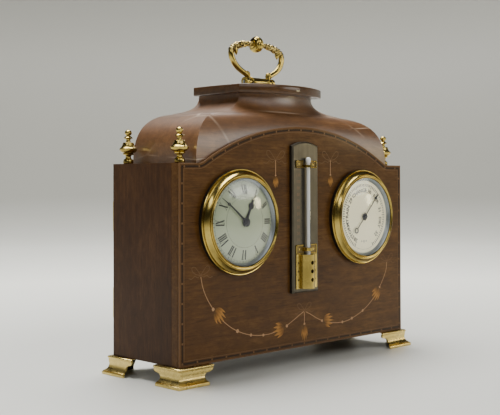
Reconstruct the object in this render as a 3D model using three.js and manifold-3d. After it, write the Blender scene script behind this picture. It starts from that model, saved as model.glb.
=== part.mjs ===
// Desk compendium: a clock, a thermometer and a barometer in one inlaid mahogany case.
// Lengths are in millimetres. X runs to the right, Y to the back and Z up.
// Each piece is drawn in the case's frame, where the front face is y = 0 and the underside is z = 0.
// The last group lifts the case onto its feet and centres it.
import * as THREE from "three";
import { mergeVertices } from "three/addons/utils/BufferGeometryUtils.js";
import Module from "manifold-3d";

// Case
const CASE_WIDTH = 240;
const CASE_DEPTH = 72;
const CASE_HEIGHT = 135;
const FRONT_THICKNESS = 8;
const SIDE_THICKNESS = 7;
const BOTTOM_THICKNESS = 8;
const DECK_THICKNESS = 8;
const ARCH_RISE = 27.6;
const ARCH_RADIUS = 196;
const ARCH_FILLET = 12;
const ARCH_LIP = 2.2;
const ARCH_STEPS = 20;
const FILLET_STEPS = 3;

// Back door and its hinges
const DOOR_THICKNESS = 6;
const DOOR_GAP = 0.6;
const KNUCKLE_RADIUS = 1.8;
const KNUCKLE_STANDOFF = 0.3;
const HINGE_LENGTH = 21;
const HINGE_LEAF_WIDTH = 4.2;
const HINGE_LEAF_THICKNESS = 0.9;
const HINGE_FROM_END = 18;
const KNUCKLE_GAP = 0.3;
const KNOB_RADIUS = 4.2;
const KNOB_LENGTH = 9;
const KNOB_FROM_EDGE = 9;

// Caddy top and cap
const CADDY_INSET = 17;
const CADDY_FIT = 0.3;
const CADDY_BACK_INSET = 1;
const CADDY_HEIGHT = 52.3;
const CADDY_SHOULDER_HEIGHT = 37.4;
const CADDY_SIDE_SHOULDER = 36;
const CADDY_FRONT_SHOULDER = 15.6;
const CADDY_SIDE_NECK = 63.6;
const CADDY_FRONT_NECK = 24.3;
const CADDY_NECK_BOW = 10.6;
const CADDY_WALL = 9;
const CADDY_STEPS = 8;
const BOW_STEPS = 12;
const CAP_THICKNESS = 6.7;
const CAP_SIDE_OVERHANG = 5.4;
const CAP_FRONT_OVERHANG = 5.8;

// Carrying handle
const HANDLE_PLATE_WIDTH = 31;
const HANDLE_PLATE_DEPTH = 14;
const HANDLE_PLATE_THICKNESS = 1.5;
const HANDLE_PIVOT_HEIGHT = 5;
const HANDLE_EAR_THICKNESS = 2.8;
const HANDLE_EAR_RADIUS = 3.5;
const HANDLE_EYE_THICKNESS = 3.1;
const HANDLE_EYE_RADIUS = 3;
const HANDLE_BARREL_RADIUS = 2.8;
const HANDLE_ROD_RADIUS = 1.1;
const HANDLE_GAP = 0.35;
const HANDLE_HALF_WIDTH = 26.6;
const HANDLE_RISE = 29.8;
const HANDLE_TUBE_RADIUS = 2;
const HANDLE_SHANK_RADIUS = 1.5;
const HANDLE_ARM_RADIUS = 2.7;
const HANDLE_KNOB_RADIUS = 5.3;
const HANDLE_LEAN = 4;

// Finials
const FINIAL_HEIGHT = 24.4;
const FINIAL_FOOT_RADIUS = 4;
const FINIAL_BODY_RADIUS = 6.15;
const FINIAL_KNOP_RADIUS = 3.8;
const FINIAL_COLLAR_RADIUS = 3.3;
const FINIAL_NECK_RADIUS = 1.5;
const FINIAL_BALL_RADIUS = 2.45;
const FINIAL_STUD_RADIUS = 1.5;
const FINIAL_STUD_LENGTH = 6.5;
const FINIAL_STUD_FIT = 0.3;
const FINIAL_SIDE_MARGIN = 0.75;
const FINIAL_FRONT_MARGIN = 1;
const FINIAL_BACK_MARGIN = 1.5;
const FINIAL_STEPS = 12;

// Bracket feet
const FOOT_HEIGHT = 13.2;
const FOOT_FLANGE_HEIGHT = 4.7;
const FOOT_FLANGE_LENGTH = 30;
const FOOT_SIDE_SHARE = 0.88;
const FOOT_WAIST_LENGTH = 20;
const FOOT_TOE_LENGTH = 25;
const FOOT_TOE_HEIGHT = 2.6;
const FOOT_TOP_PROJECTION = 1;
const FOOT_BULGE = 2.9;
const FOOT_TOE_PROJECTION = 5.7;
const FOOT_WALL = 4.5;
const FOOT_WEB_THICKNESS = 2;

// Instruments: both share one size of bezel, glass, dial and drum
const INSTRUMENT_DROP = 40.6;
const INSTRUMENT_INWARD = 0.45;
const BEZEL_RADIUS = 36.84;
const BEZEL_RIM = 1;
const BEZEL_FLANGE = 1.6;
const BEZEL_STEP = 2.9;
const BEZEL_COVE = 4.6;
const BEZEL_HEIGHT = 9.2;
const BEZEL_OPENING = 28.9;
const GLASS_RADIUS = 29.95;
const GLASS_THICKNESS = 1.4;
const GLASS_DOME = 3.65;
const GLASS_FIT = 0.3;
const DIAL_THICKNESS = 1.2;
const DIAL_FRONT = 4.4;
const DIAL_FOOT_RADIUS = 1;
const DIAL_FOOT_CIRCLE = 22;
const DRUM_RADIUS = 30.6;
const DRUM_WALL = 1;
const DRUM_FLANGE_RADIUS = 35.5;
const DRUM_FLANGE = 1.3;
const DRUM_HOLE_FIT = 0.6;
const ROUND_STEPS = 32;

// Clock movement, measured back from the front face
const CLOCK_DRUM_DEPTH = 32;
const PLATE_FIT = 0.3;
const PLATE_THICKNESS = 1.6;
const FRONT_PLATE_FRONT = 3;
const PLATE_SPACING = 19.4;
const PILLAR_RADIUS = 1.6;
const PILLAR_CIRCLE = 25.5;
const PILLAR_ANGLES = [45, 135, 222, -42];
const ARBOR_RADIUS = 0.7;
const ARBOR_FIT = 0.35;
const ARBOR_END = 0.3;
const CENTRE_ARBOR_RADIUS = 0.8;
const WHEEL_THICKNESS = 1;
const PINION_THICKNESS = 2.4;
const GEAR_ADDENDUM = 0.9;
const GEAR_DEDENDUM = 1.15;
const BARREL_TEETH = 48;
const CENTRE_LEAVES = 8;
const BARREL_MODULE = 0.52;
const BARREL_ANGLE = -90;
const BARREL_WALL_RADIUS = 11.2;
const BARREL_DEPTH = 9;
const BARREL_FRONT = 6.2;
const GREAT_WHEEL_THICKNESS = 1.4;
const WINDING_ARBOR_RADIUS = 1.9;
const CENTRE_TEETH = 48;
const THIRD_LEAVES = 6;
const CENTRE_MODULE = 0.42;
const CENTRE_WHEEL_FRONT = 18;
const THIRD_ANGLE = 135;
const THIRD_TEETH = 45;
const THIRD_MODULE = 0.38;
const THIRD_WHEEL_FRONT = 9.2;
const FOURTH_LEAVES = 6;
const FOURTH_ANGLE = 17;
const FOURTH_RUNNING_GAP = 0.25;
const FOURTH_TEETH = 48;
const FOURTH_MODULE = 0.36;
const FOURTH_WHEEL_FRONT = 20.6;
const ESCAPE_LEAVES = 6;
const ESCAPE_ANGLE = -20;
const ESCAPE_TEETH = 15;
const ESCAPE_RADIUS = 4.6;
const ESCAPE_ROOT_RADIUS = 3.4;
const ESCAPE_FRONT = 13;
const LEVER_DISTANCE = 6.8;
const LEVER_ANGLE = -62;
const LEVER_HALF_SPAN = 3.2;
const LEVER_WIDTH = 1.2;
const LEVER_THICKNESS = 0.8;
const LEVER_FRONT = 13.1;
const BALANCE_X = 17.5;
const BALANCE_Z = -6.5;
const BALANCE_RADIUS = 7;
const BALANCE_RIM = 0.9;
const BALANCE_FRONT = 17;
const BALANCE_THICKNESS = 0.8;

// Motion work and hands
const CANNON_TEETH = 12;
const CANNON_MODULE = 0.34;
const CANNON_RADIUS = 1.3;
const CANNON_BORE = 1.05;
const CANNON_TIP = 7;
const MINUTE_WHEEL_TEETH = 36;
const MINUTE_LEAVES = 10;
const MINUTE_WHEEL_ANGLE = 30;
const MINUTE_WHEEL_FRONT = 0.9;
const HOUR_TEETH = 40;
const HOUR_WHEEL_BACK = -1.3;
const HOUR_PIPE_RADIUS = 2.1;
const HOUR_PIPE_BORE = 1.65;
const HOUR_PIPE_TIP = 5.6;
const MINUTE_HAND_LENGTH = 27;
const HOUR_HAND_LENGTH = 17;
const HAND_THICKNESS = 0.5;
const HAND_GAP = 0.35;
const MINUTE_HAND_ANGLE = -51;
const HOUR_HAND_ANGLE = 25.75;
const SET_KNOB_RADIUS = 4;
const SET_KNOB_THICKNESS = 4;
const SET_KNOB_STANDOFF = 1.5;
const KEY_HUB_RADIUS = 3;
const KEY_WING_RADIUS = 8;
const KEY_WING_THICKNESS = 1.8;
const KEY_LENGTH = 13;
const KEY_STANDOFF = 1.5;

// Barometer works, measured back from the front face
const PAN_DEPTH = 22;
const BASE_PLATE_THICKNESS = 1.5;
const CAPSULE_RADIUS = 14;
const CAPSULE_DEPTH = 9.5;
const CAPSULE_BOSS_RADIUS = 2;
const BRIDGE_FRONT = 5;
const BRIDGE_THICKNESS = 1.4;
const BRIDGE_WIDTH = 8;
const BRIDGE_HALF_SPAN = 22;
const BRIDGE_POST_RADIUS = 2;
const SECTOR_TEETH = 60;
const SECTOR_LEAVES = 8;
const SECTOR_MODULE = 0.5;
const SECTOR_HALF_COUNT = 4;
const SECTOR_FRONT = 2;
const SECTOR_MIDDLE_ANGLE = 6;
const POINTER_LENGTH = 24.2;
const POINTER_TAIL = 14.8;
const POINTER_RING_RADIUS = 2.2;
const POINTER_BOSS_RADIUS = 2.6;
const POINTER_ANGLE = 44;
const POINTER_FRONT = 5.3;
const SPRING_WIDTH = 9;
const SPRING_THICKNESS = 0.9;
const SPRING_FOOT = 24;
const SPRING_GAP = 0.25;
const SCREW_SHANK_RADIUS = 1.2;
const SCREW_HEAD_RADIUS = 3;
const SCREW_HEAD = 2;
const SCREW_DROP = 21.5;
const SCREW_HOLE_FIT = 0.4;

// Thermometer
const THERMO_WIDTH = 28.2;
const THERMO_THICKNESS = 3.3;
const THERMO_BEVEL = 1;
const THERMO_RISE = 13.5;
const THERMO_DROP = 94.5;
const THERMO_ARCH = 3.1;
const TUBE_RADIUS = 1.8;
const TUBE_CLEARANCE = 0.7;
const TUBE_TOP_RADIUS = 2.1;
const TUBE_TOP_DROP = 8.1;
const BULB_RADIUS = 2.4;
const BULB_HEIGHT = 9;
const CLIP_WIDTH = 22.6;
const CLIP_HEIGHT = 5.4;
const CLIP_THICKNESS = 0.8;
const CLIP_FIT = 0.3;
const UPPER_CLIP_DROP = 10.8;
const LOWER_CLIP_HEIGHT = 7;
const GUARD_RADIUS = 6.5;
const GUARD_HEIGHT = 25;
const GUARD_RISE = 3;
const GUARD_SLOT_WIDTH = 2.6;
const GUARD_HOLE_RADIUS = 1;

const wasm = await Module();
wasm.setup();

const TURN = 2 * Math.PI;
const radians = THREE.MathUtils.degToRad;
const onCircle = (radius, angle) => new THREE.Vector2(radius * Math.cos(angle), radius * Math.sin(angle));

// Solids: three.js draws each closed shape, and manifold-3d joins and cuts them.
function solid(geometry) {
  const bare = new THREE.BufferGeometry();
  bare.setAttribute("position", geometry.getAttribute("position"));
  bare.setIndex(geometry.index);
  const merged = mergeVertices(bare, 1e-4);
  const corners = merged.index.array;
  const kept = [];
  for (let i = 0; i < corners.length; i += 3) {
    const [a, b, c] = [corners[i], corners[i + 1], corners[i + 2]];
    if (a !== b && b !== c && c !== a) kept.push(a, b, c);
  }
  const build = (order) =>
    new wasm.Manifold(
      new wasm.Mesh({
        numProp: 3,
        vertProperties: new Float32Array(merged.getAttribute("position").array),
        triVerts: new Uint32Array(order),
      }),
    );
  const made = build(kept);
  return made.volume() < 0 ? build(kept.reverse()) : made;
}

const join = (first, ...others) => others.reduce((whole, other) => whole.add(other), first);
const cut = (first, ...others) => others.reduce((whole, other) => whole.subtract(other), first);

// One named piece, placed in a group.
function piece(group, name, body, material) {
  const { vertProperties, triVerts } = body.getMesh();
  const geometry = new THREE.BufferGeometry();
  geometry.setAttribute("position", new THREE.BufferAttribute(vertProperties, 3));
  geometry.setIndex(new THREE.BufferAttribute(triVerts, 1));
  geometry.computeVertexNormals();
  const mesh = new THREE.Mesh(geometry, material);
  mesh.name = name;
  group.add(mesh);
  return mesh;
}

function block(x0, x1, y0, y1, z0, z1) {
  const geometry = new THREE.BoxGeometry(x1 - x0, y1 - y0, z1 - z0);
  geometry.translate((x0 + x1) / 2, (y0 + y1) / 2, (z0 + z1) / 2);
  return solid(geometry);
}

const extrude = (shape, depth, curveSegments = 8) =>
  new THREE.ExtrudeGeometry(shape, { depth, curveSegments, bevelEnabled: false });

// An outline drawn in x and z, from y = front to y = back.
function slabY(shape, front, back, curveSegments) {
  const geometry = extrude(shape, back - front, curveSegments);
  geometry.rotateX(Math.PI / 2);
  geometry.translate(0, back, 0);
  return solid(geometry);
}

// An outline drawn in x and y, from z = low to z = high.
function slabZ(shape, low, high, curveSegments) {
  const geometry = extrude(shape, high - low, curveSegments);
  geometry.translate(0, 0, low);
  return solid(geometry);
}

// An outline drawn in y and z, from x = left to x = right.
function slabX(shape, left, right, curveSegments) {
  const geometry = extrude(shape, right - left, curveSegments);
  const axes = [new THREE.Vector3(0, 1, 0), new THREE.Vector3(0, 0, 1), new THREE.Vector3(1, 0, 0)];
  geometry.applyMatrix4(new THREE.Matrix4().makeBasis(...axes));
  geometry.translate(left, 0, 0);
  return solid(geometry);
}

// A turned shape about the Y axis, from [radius, y] points; places it at x, z.
function turnedY(profile, x = 0, z = 0, steps = ROUND_STEPS) {
  const points = profile.map(([radius, y]) => new THREE.Vector2(radius, y));
  const geometry = new THREE.LatheGeometry(points, steps);
  geometry.translate(x, 0, z);
  return solid(geometry);
}

// A turned shape about the Z axis, from [radius, z] points; places it at x, y.
function turnedZ(profile, x = 0, y = 0, steps = ROUND_STEPS) {
  const points = profile.map(([radius, z]) => new THREE.Vector2(radius, z));
  const geometry = new THREE.LatheGeometry(points, steps);
  geometry.rotateX(Math.PI / 2);
  geometry.translate(x, y, 0);
  return solid(geometry);
}

function rodY(radius, front, back, x = 0, z = 0, steps = 10) {
  return turnedY([[0, front], [radius, front], [radius, back], [0, back]], x, z, steps);
}

function rodZ(radius, low, high, x = 0, y = 0, steps = 10) {
  return turnedZ([[0, low], [radius, low], [radius, high], [0, high]], x, y, steps);
}

function rodX(radius, left, right, y, z, steps = 12) {
  const geometry = new THREE.CylinderGeometry(radius, radius, right - left, steps);
  geometry.rotateZ(Math.PI / 2);
  geometry.translate((left + right) / 2, y, z);
  return solid(geometry);
}

function outline(points) {
  return new THREE.Shape(points.map((p) => (p.isVector2 ? p : new THREE.Vector2(p[0], p[1]))));
}

function roundHole(x, z, radius, steps = 8) {
  const rim = Array.from({ length: steps }, (_, i) => onCircle(radius, (i * TURN) / steps));
  return new THREE.Path(rim.map((p) => new THREE.Vector2(p.x + x, p.y + z)));
}

function disc(radius, steps = ROUND_STEPS, x = 0, z = 0) {
  const rim = Array.from({ length: steps }, (_, i) => onCircle(radius, (i * TURN) / steps));
  return outline(rim.map((p) => new THREE.Vector2(p.x + x, p.y + z)));
}

// Finishes
const finish = (color, roughness, metalness) =>
  new THREE.MeshStandardMaterial({ color, roughness, metalness });
const mahogany = () => finish(0x7a4527, 0.35, 0);
const darkMahogany = () => finish(0x54301f, 0.4, 0);
const caddyMahogany = () => finish(0x7d5240, 0.25, 0);
const polishedBrass = () => finish(0xd2a94e, 0.18, 1);
const satinBrass = () => finish(0xd6b16a, 0.38, 1);
const movementBrass = () => finish(0xc9a352, 0.35, 1);
const steel = () => finish(0x9a9ea3, 0.3, 1);
const blackenedSteel = () => finish(0x17171a, 0.35, 0.6);
const enamel = () => finish(0xf1efe6, 0.3, 0);
const silvered = () => finish(0xb9bab8, 0.4, 0.7);
const glass = () => {
  const clear = finish(0xf2f6f7, 0.03, 0);
  clear.transparent = true;
  clear.opacity = 0.25;
  return clear;
};

const caseHalf = CASE_WIDTH / 2;
const innerHalf = caseHalf - SIDE_THICKNESS;
const instrumentX = (CASE_WIDTH + THERMO_WIDTH) / 4 - INSTRUMENT_INWARD;
const instrumentZ = CASE_HEIGHT - INSTRUMENT_DROP;
const deckUnderside = CASE_HEIGHT - DECK_THICKNESS;
const finialX = caseHalf - SIDE_THICKNESS - FINIAL_STUD_RADIUS - FINIAL_SIDE_MARGIN;
const finialFrontY = FRONT_THICKNESS + FINIAL_STUD_RADIUS + FINIAL_FRONT_MARGIN;
const finialBackY = CASE_DEPTH - FINIAL_FOOT_RADIUS - FINIAL_BACK_MARGIN;
const finialPlaces = [
  ["finial_front_left", -finialX, finialFrontY],
  ["finial_front_right", finialX, finialFrontY],
  ["finial_back_left", -finialX, finialBackY],
  ["finial_back_right", finialX, finialBackY],
];

// The arched front board: a flat shoulder, a small hollow fillet and a long round arch on each side.
function archEdge() {
  const centreZ = CASE_HEIGHT + ARCH_RISE - ARCH_RADIUS;
  const filletZ = CASE_HEIGHT + ARCH_FILLET;
  const filletX = Math.sqrt((ARCH_RADIUS + ARCH_FILLET) ** 2 - (filletZ - centreZ) ** 2);
  const joinAngle = Math.atan2(filletX, filletZ - centreZ);
  const right = [];
  for (let i = 0; i <= FILLET_STEPS; i++) {
    const angle = (joinAngle * i) / FILLET_STEPS;
    right.push([filletX - ARCH_FILLET * Math.sin(angle), filletZ - ARCH_FILLET * Math.cos(angle)]);
  }
  for (let i = 1; i < ARCH_STEPS / 2; i++) {
    const angle = joinAngle * (1 - (2 * i) / ARCH_STEPS);
    right.push([ARCH_RADIUS * Math.sin(angle), centreZ + ARCH_RADIUS * Math.cos(angle)]);
  }
  const left = right.map(([x, z]) => [-x, z]).reverse();
  return [...right, [0, CASE_HEIGHT + ARCH_RISE], ...left];
}

function makeCase(group) {
  const face = outline([[-caseHalf, 0], [caseHalf, 0], [caseHalf, CASE_HEIGHT], ...archEdge(), [-caseHalf, CASE_HEIGHT]]);
  const backing = outline([[-caseHalf, 0], [caseHalf, 0], [caseHalf, CASE_HEIGHT], [-caseHalf, CASE_HEIGHT]]);
  for (const side of [-1, 1]) {
    const hole = roundHole(side * instrumentX, instrumentZ, DRUM_RADIUS + DRUM_HOLE_FIT, ROUND_STEPS);
    face.holes.push(hole);
    backing.holes.push(hole);
  }
  const front = join(slabY(face, 0, ARCH_LIP), slabY(backing, ARCH_LIP, FRONT_THICKNESS));
  piece(group, "front_board", front, mahogany());

  const side = (x0, x1) => block(x0, x1, FRONT_THICKNESS, CASE_DEPTH, 0, CASE_HEIGHT);
  piece(group, "left_side", side(-caseHalf, -innerHalf), darkMahogany());
  piece(group, "right_side", side(innerHalf, caseHalf), darkMahogany());
  const bottom = block(-innerHalf, innerHalf, FRONT_THICKNESS, CASE_DEPTH, 0, BOTTOM_THICKNESS);
  piece(group, "bottom_board", bottom, darkMahogany());
  const studHoles = finialPlaces.map(([, x, y]) =>
    rodZ(FINIAL_STUD_RADIUS + FINIAL_STUD_FIT, deckUnderside - 1, CASE_HEIGHT + 1, x, y, 8),
  );
  const deck = block(-innerHalf, innerHalf, FRONT_THICKNESS, CASE_DEPTH, deckUnderside, CASE_HEIGHT);
  piece(group, "deck", cut(deck, ...studHoles), darkMahogany());
}

// The back door is let in between the sides, the bottom and the deck, and swings on two butt hinges.
const hingeX = -innerHalf;
const hingeY = CASE_DEPTH + KNUCKLE_RADIUS + KNUCKLE_STANDOFF;

function hingeLeaf(low, moving) {
  const third = HINGE_LENGTH / 3;
  const direction = moving ? 1 : -1;
  const near = hingeX + direction * (KNUCKLE_RADIUS + 2 * KNUCKLE_GAP);
  const far = near + direction * HINGE_LEAF_WIDTH;
  const leafBack = CASE_DEPTH + HINGE_LEAF_THICKNESS;
  const leaf = block(Math.min(near, far), Math.max(near, far), CASE_DEPTH, leafBack, low, low + HINGE_LENGTH);
  const knuckles = moving ? [1] : [0, 2];
  const parts = knuckles.flatMap((index) => {
    const z0 = low + index * third + (index > 0 ? KNUCKLE_GAP : 0);
    const z1 = low + (index + 1) * third - (index < 2 ? KNUCKLE_GAP : 0);
    const tab = block(Math.min(hingeX, near), Math.max(hingeX, near), CASE_DEPTH + KNUCKLE_STANDOFF, leafBack, z0, z1);
    return [rodZ(KNUCKLE_RADIUS, z0, z1, hingeX, hingeY, 12), tab];
  });
  return join(leaf, ...parts);
}

function makeDoor(group) {
  const halfDoor = innerHalf - DOOR_GAP;
  const doorLow = BOTTOM_THICKNESS + DOOR_GAP;
  const doorHigh = deckUnderside - DOOR_GAP;
  const panel = block(-halfDoor, halfDoor, CASE_DEPTH - DOOR_THICKNESS, CASE_DEPTH, doorLow, doorHigh);
  piece(group, "back_door", panel, mahogany());
  const places = { lower: doorLow + HINGE_FROM_END, upper: doorHigh - HINGE_FROM_END - HINGE_LENGTH };
  for (const [place, low] of Object.entries(places)) {
    piece(group, place + "_hinge_fixed_leaf", hingeLeaf(low, false), satinBrass());
    piece(group, place + "_hinge_door_leaf", hingeLeaf(low, true), satinBrass());
  }
  const knobX = halfDoor - KNOB_FROM_EDGE;
  const knobZ = (doorLow + doorHigh) / 2;
  const neckRadius = KNOB_RADIUS * 0.45;
  const knob = [
    [0, 0],
    [KNOB_RADIUS * 0.8, 0],
    [KNOB_RADIUS * 0.8, KNOB_LENGTH * 0.12],
    [neckRadius, KNOB_LENGTH * 0.3],
    [neckRadius, KNOB_LENGTH * 0.45],
    [KNOB_RADIUS, KNOB_LENGTH * 0.65],
    [KNOB_RADIUS, KNOB_LENGTH * 0.82],
    [KNOB_RADIUS * 0.6, KNOB_LENGTH],
    [0, KNOB_LENGTH],
  ].map(([radius, y]) => [radius, CASE_DEPTH + y]);
  piece(group, "door_knob", turnedY(knob, knobX, knobZ, 16), polishedBrass());
}

// The caddy top: rings of a straight-backed plan whose front bows out more and more towards the neck.
const caddyHalf = caseHalf - CADDY_INSET;
const caddyFront = ARCH_LIP + CADDY_FIT;
const caddyBack = CASE_DEPTH - CADDY_BACK_INSET;
const caddyTop = CASE_HEIGHT + CADDY_HEIGHT;

function ogeeInset(shoulder, neck, steps) {
  const slope = 0.19;
  const foot = new THREE.CubicBezierCurve(
    new THREE.Vector2(0, 0),
    new THREE.Vector2(0, CADDY_SHOULDER_HEIGHT * 0.62),
    new THREE.Vector2(shoulder * 0.28, CADDY_SHOULDER_HEIGHT * 0.92),
    new THREE.Vector2(shoulder, CADDY_SHOULDER_HEIGHT),
  );
  const neckCurve = new THREE.CubicBezierCurve(
    new THREE.Vector2(shoulder, CADDY_SHOULDER_HEIGHT),
    new THREE.Vector2(shoulder + (neck - shoulder) * 0.5, CADDY_SHOULDER_HEIGHT + CADDY_HEIGHT * slope * 0.28),
    new THREE.Vector2(neck, CADDY_HEIGHT * 0.8),
    new THREE.Vector2(neck, CADDY_HEIGHT),
  );
  return [...foot.getPoints(steps), ...neckCurve.getPoints(steps).slice(1)];
}

function bowedPlan(half, front, back, bow, steps = BOW_STEPS) {
  const points = [[-half, back]];
  for (let i = 0; i <= steps; i++) {
    const x = half * ((2 * i) / steps - 1);
    points.push([x, front - bow * (1 - (x / half) ** 2)]);
  }
  points.push([half, back]);
  return points;
}

// A closed solid through a stack of plans that all have the same number of points.
function loft(rings) {
  const count = rings[0].points.length;
  const positions = rings.flatMap(({ points, z }) => points.flatMap(([x, y]) => [x, y, z]));
  const faces = [];
  for (let ring = 0; ring < rings.length - 1; ring++) {
    for (let i = 0; i < count; i++) {
      const a = ring * count + i;
      const b = ring * count + ((i + 1) % count);
      faces.push(a, b, a + count, b, b + count, a + count);
    }
  }
  const cap = (points) =>
    THREE.ShapeUtils.triangulateShape(points.map(([x, y]) => new THREE.Vector2(x, y)), []);
  const last = (rings.length - 1) * count;
  for (const [a, b, c] of cap(rings[0].points)) faces.push(...orderLike(rings[0].points, a, b, c, 0, false));
  for (const [a, b, c] of cap(rings.at(-1).points)) faces.push(...orderLike(rings.at(-1).points, a, b, c, last, true));
  const geometry = new THREE.BufferGeometry();
  geometry.setAttribute("position", new THREE.Float32BufferAttribute(positions, 3));
  geometry.setIndex(faces);
  return solid(geometry);
}

// Winds one cap triangle to match the walls, which turn anticlockwise round the outline.
function orderLike(points, a, b, c, offset, top) {
  const turn = THREE.ShapeUtils.area([a, b, c].map((i) => ({ x: points[i][0], y: points[i][1] })));
  const order = turn > 0 === top ? [a, b, c] : [a, c, b];
  return order.map((i) => i + offset);
}

function caddyBody(wall, steps, drop) {
  const sides = ogeeInset(CADDY_SIDE_SHOULDER, CADDY_SIDE_NECK, steps);
  const fronts = ogeeInset(CADDY_FRONT_SHOULDER, CADDY_FRONT_NECK, steps);
  const rings = sides.map((point, i) => ({
    z: CASE_HEIGHT + Math.max(point.y - drop, i * 1e-3),
    points: bowedPlan(
      caddyHalf - wall - point.x,
      caddyFront + wall + fronts[i].x,
      caddyBack - wall,
      (CADDY_NECK_BOW * fronts[i].x) / CADDY_FRONT_NECK,
    ),
  }));
  return rings;
}

function makeCaddy(group) {
  const outside = loft(caddyBody(0, CADDY_STEPS, 0));
  const hollowRings = caddyBody(CADDY_WALL, CADDY_STEPS / 2, CADDY_WALL);
  hollowRings.unshift({ z: CASE_HEIGHT - 1, points: hollowRings[0].points });
  piece(group, "caddy_top", cut(outside, loft(hollowRings)), caddyMahogany());

  const neckHalf = caddyHalf - CADDY_SIDE_NECK;
  const capHalf = neckHalf + CAP_SIDE_OVERHANG;
  const capFront = caddyFront + CADDY_FRONT_NECK - CAP_FRONT_OVERHANG;
  const capBow = CADDY_NECK_BOW * (capHalf / neckHalf) ** 2;
  const plan = outline(bowedPlan(capHalf, capFront, caddyBack, capBow, BOW_STEPS + 4));
  piece(group, "cap_board", slabZ(plan, caddyTop, caddyTop + CAP_THICKNESS), darkMahogany());
  return { y: (capFront + caddyBack) / 2, z: caddyTop + CAP_THICKNESS };
}

// The handle: a plate with two ears, a rod through them, and a bail that folds about the rod.
function makeHandle(group, seat) {
  const earOuter = HANDLE_PLATE_WIDTH / 2;
  const earInner = earOuter - HANDLE_EAR_THICKNESS;
  const eyeOuter = earInner - HANDLE_GAP;
  const eyeInner = eyeOuter - HANDLE_EYE_THICKNESS;
  const pivotZ = seat.z + HANDLE_PIVOT_HEIGHT;
  const plateTop = seat.z + HANDLE_PLATE_THICKNESS;
  const halfDepth = HANDLE_PLATE_DEPTH / 2;
  const boreRadius = HANDLE_ROD_RADIUS + HANDLE_GAP;
  const bore = rodX(boreRadius, -earOuter - 1, earOuter + 1, seat.y, pivotZ);
  const ears = [-1, 1].flatMap((side) => {
    const [x0, x1] = side < 0 ? [-earOuter, -earInner] : [earInner, earOuter];
    const cheek = block(x0, x1, seat.y - HANDLE_EAR_RADIUS, seat.y + HANDLE_EAR_RADIUS, seat.z, pivotZ);
    return [rodX(HANDLE_EAR_RADIUS, x0, x1, seat.y, pivotZ, 16), cheek];
  });
  const barrelHalf = eyeInner - HANDLE_GAP;
  const barrel = rodX(HANDLE_BARREL_RADIUS, -barrelHalf, barrelHalf, seat.y, pivotZ);
  const web = block(-barrelHalf, barrelHalf, seat.y - 1.5, seat.y + 1.5, seat.z, pivotZ);
  const plate = block(-earOuter, earOuter, seat.y - halfDepth, seat.y + halfDepth, seat.z, plateTop);
  piece(group, "handle_plate", cut(join(plate, ...ears, barrel, web), bore), polishedBrass());
  const rodHalf = earOuter + 0.4;
  piece(group, "handle_pivot_rod", rodX(HANDLE_ROD_RADIUS, -rodHalf, rodHalf, seat.y, pivotZ, 10), steel());

  // The bail is drawn about its pivot, then leans back a little, as it stands on the real one.
  const eyeMiddle = (eyeInner + eyeOuter) / 2;
  const shoulderX = HANDLE_HALF_WIDTH;
  const path = (side) =>
    new THREE.CatmullRomCurve3(
      [
        [eyeMiddle, 6.4],
        [eyeMiddle + 2.4, 8.2],
        [eyeMiddle + 7, 9.6],
        [shoulderX - 3.4, 13],
        [shoulderX, 19.6],
        [shoulderX - 2.6, 26],
        [shoulderX - 9.5, HANDLE_RISE - 0.6],
        [HANDLE_KNOB_RADIUS - 1, HANDLE_RISE],
      ].map(([x, z]) => new THREE.Vector3(side * x, 0, z)),
    );
  const sweep = (curve, radius, steps) =>
    solid(new THREE.ExtrudeGeometry(disc(radius, 8), { steps, extrudePath: curve, bevelEnabled: false }));
  const armPath = (side) =>
    new THREE.CatmullRomCurve3(
      [
        [shoulderX - 1.2, 23.4],
        [shoulderX - 4.4, 27.4],
        [shoulderX - 9.5, HANDLE_RISE - 0.6],
        [HANDLE_KNOB_RADIUS - 1, HANDLE_RISE],
      ].map(([x, z]) => new THREE.Vector3(side * x, 0, z)),
    );
  const halves = [-1, 1].flatMap((side) => {
    const [x0, x1] = side < 0 ? [-eyeOuter, -eyeInner] : [eyeInner, eyeOuter];
    return [
      rodX(HANDLE_EYE_RADIUS, x0, x1, 0, 0),
      rodZ(HANDLE_SHANK_RADIUS, 0, 7.6, side * eyeMiddle, 0, 8),
      sweep(path(side), HANDLE_TUBE_RADIUS, 13),
      sweep(armPath(side), HANDLE_ARM_RADIUS, 4),
    ];
  });
  const knob = new THREE.SphereGeometry(HANDLE_KNOB_RADIUS, 12, 8);
  knob.translate(0, 0, HANDLE_RISE);
  const eyeBore = rodX(boreRadius, -earOuter, earOuter, 0, 0);
  const bail = piece(group, "handle_bail", cut(join(solid(knob), ...halves), eyeBore), polishedBrass());
  bail.position.set(0, seat.y, pivotZ);
  bail.rotation.x = -radians(HANDLE_LEAN);
}

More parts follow.
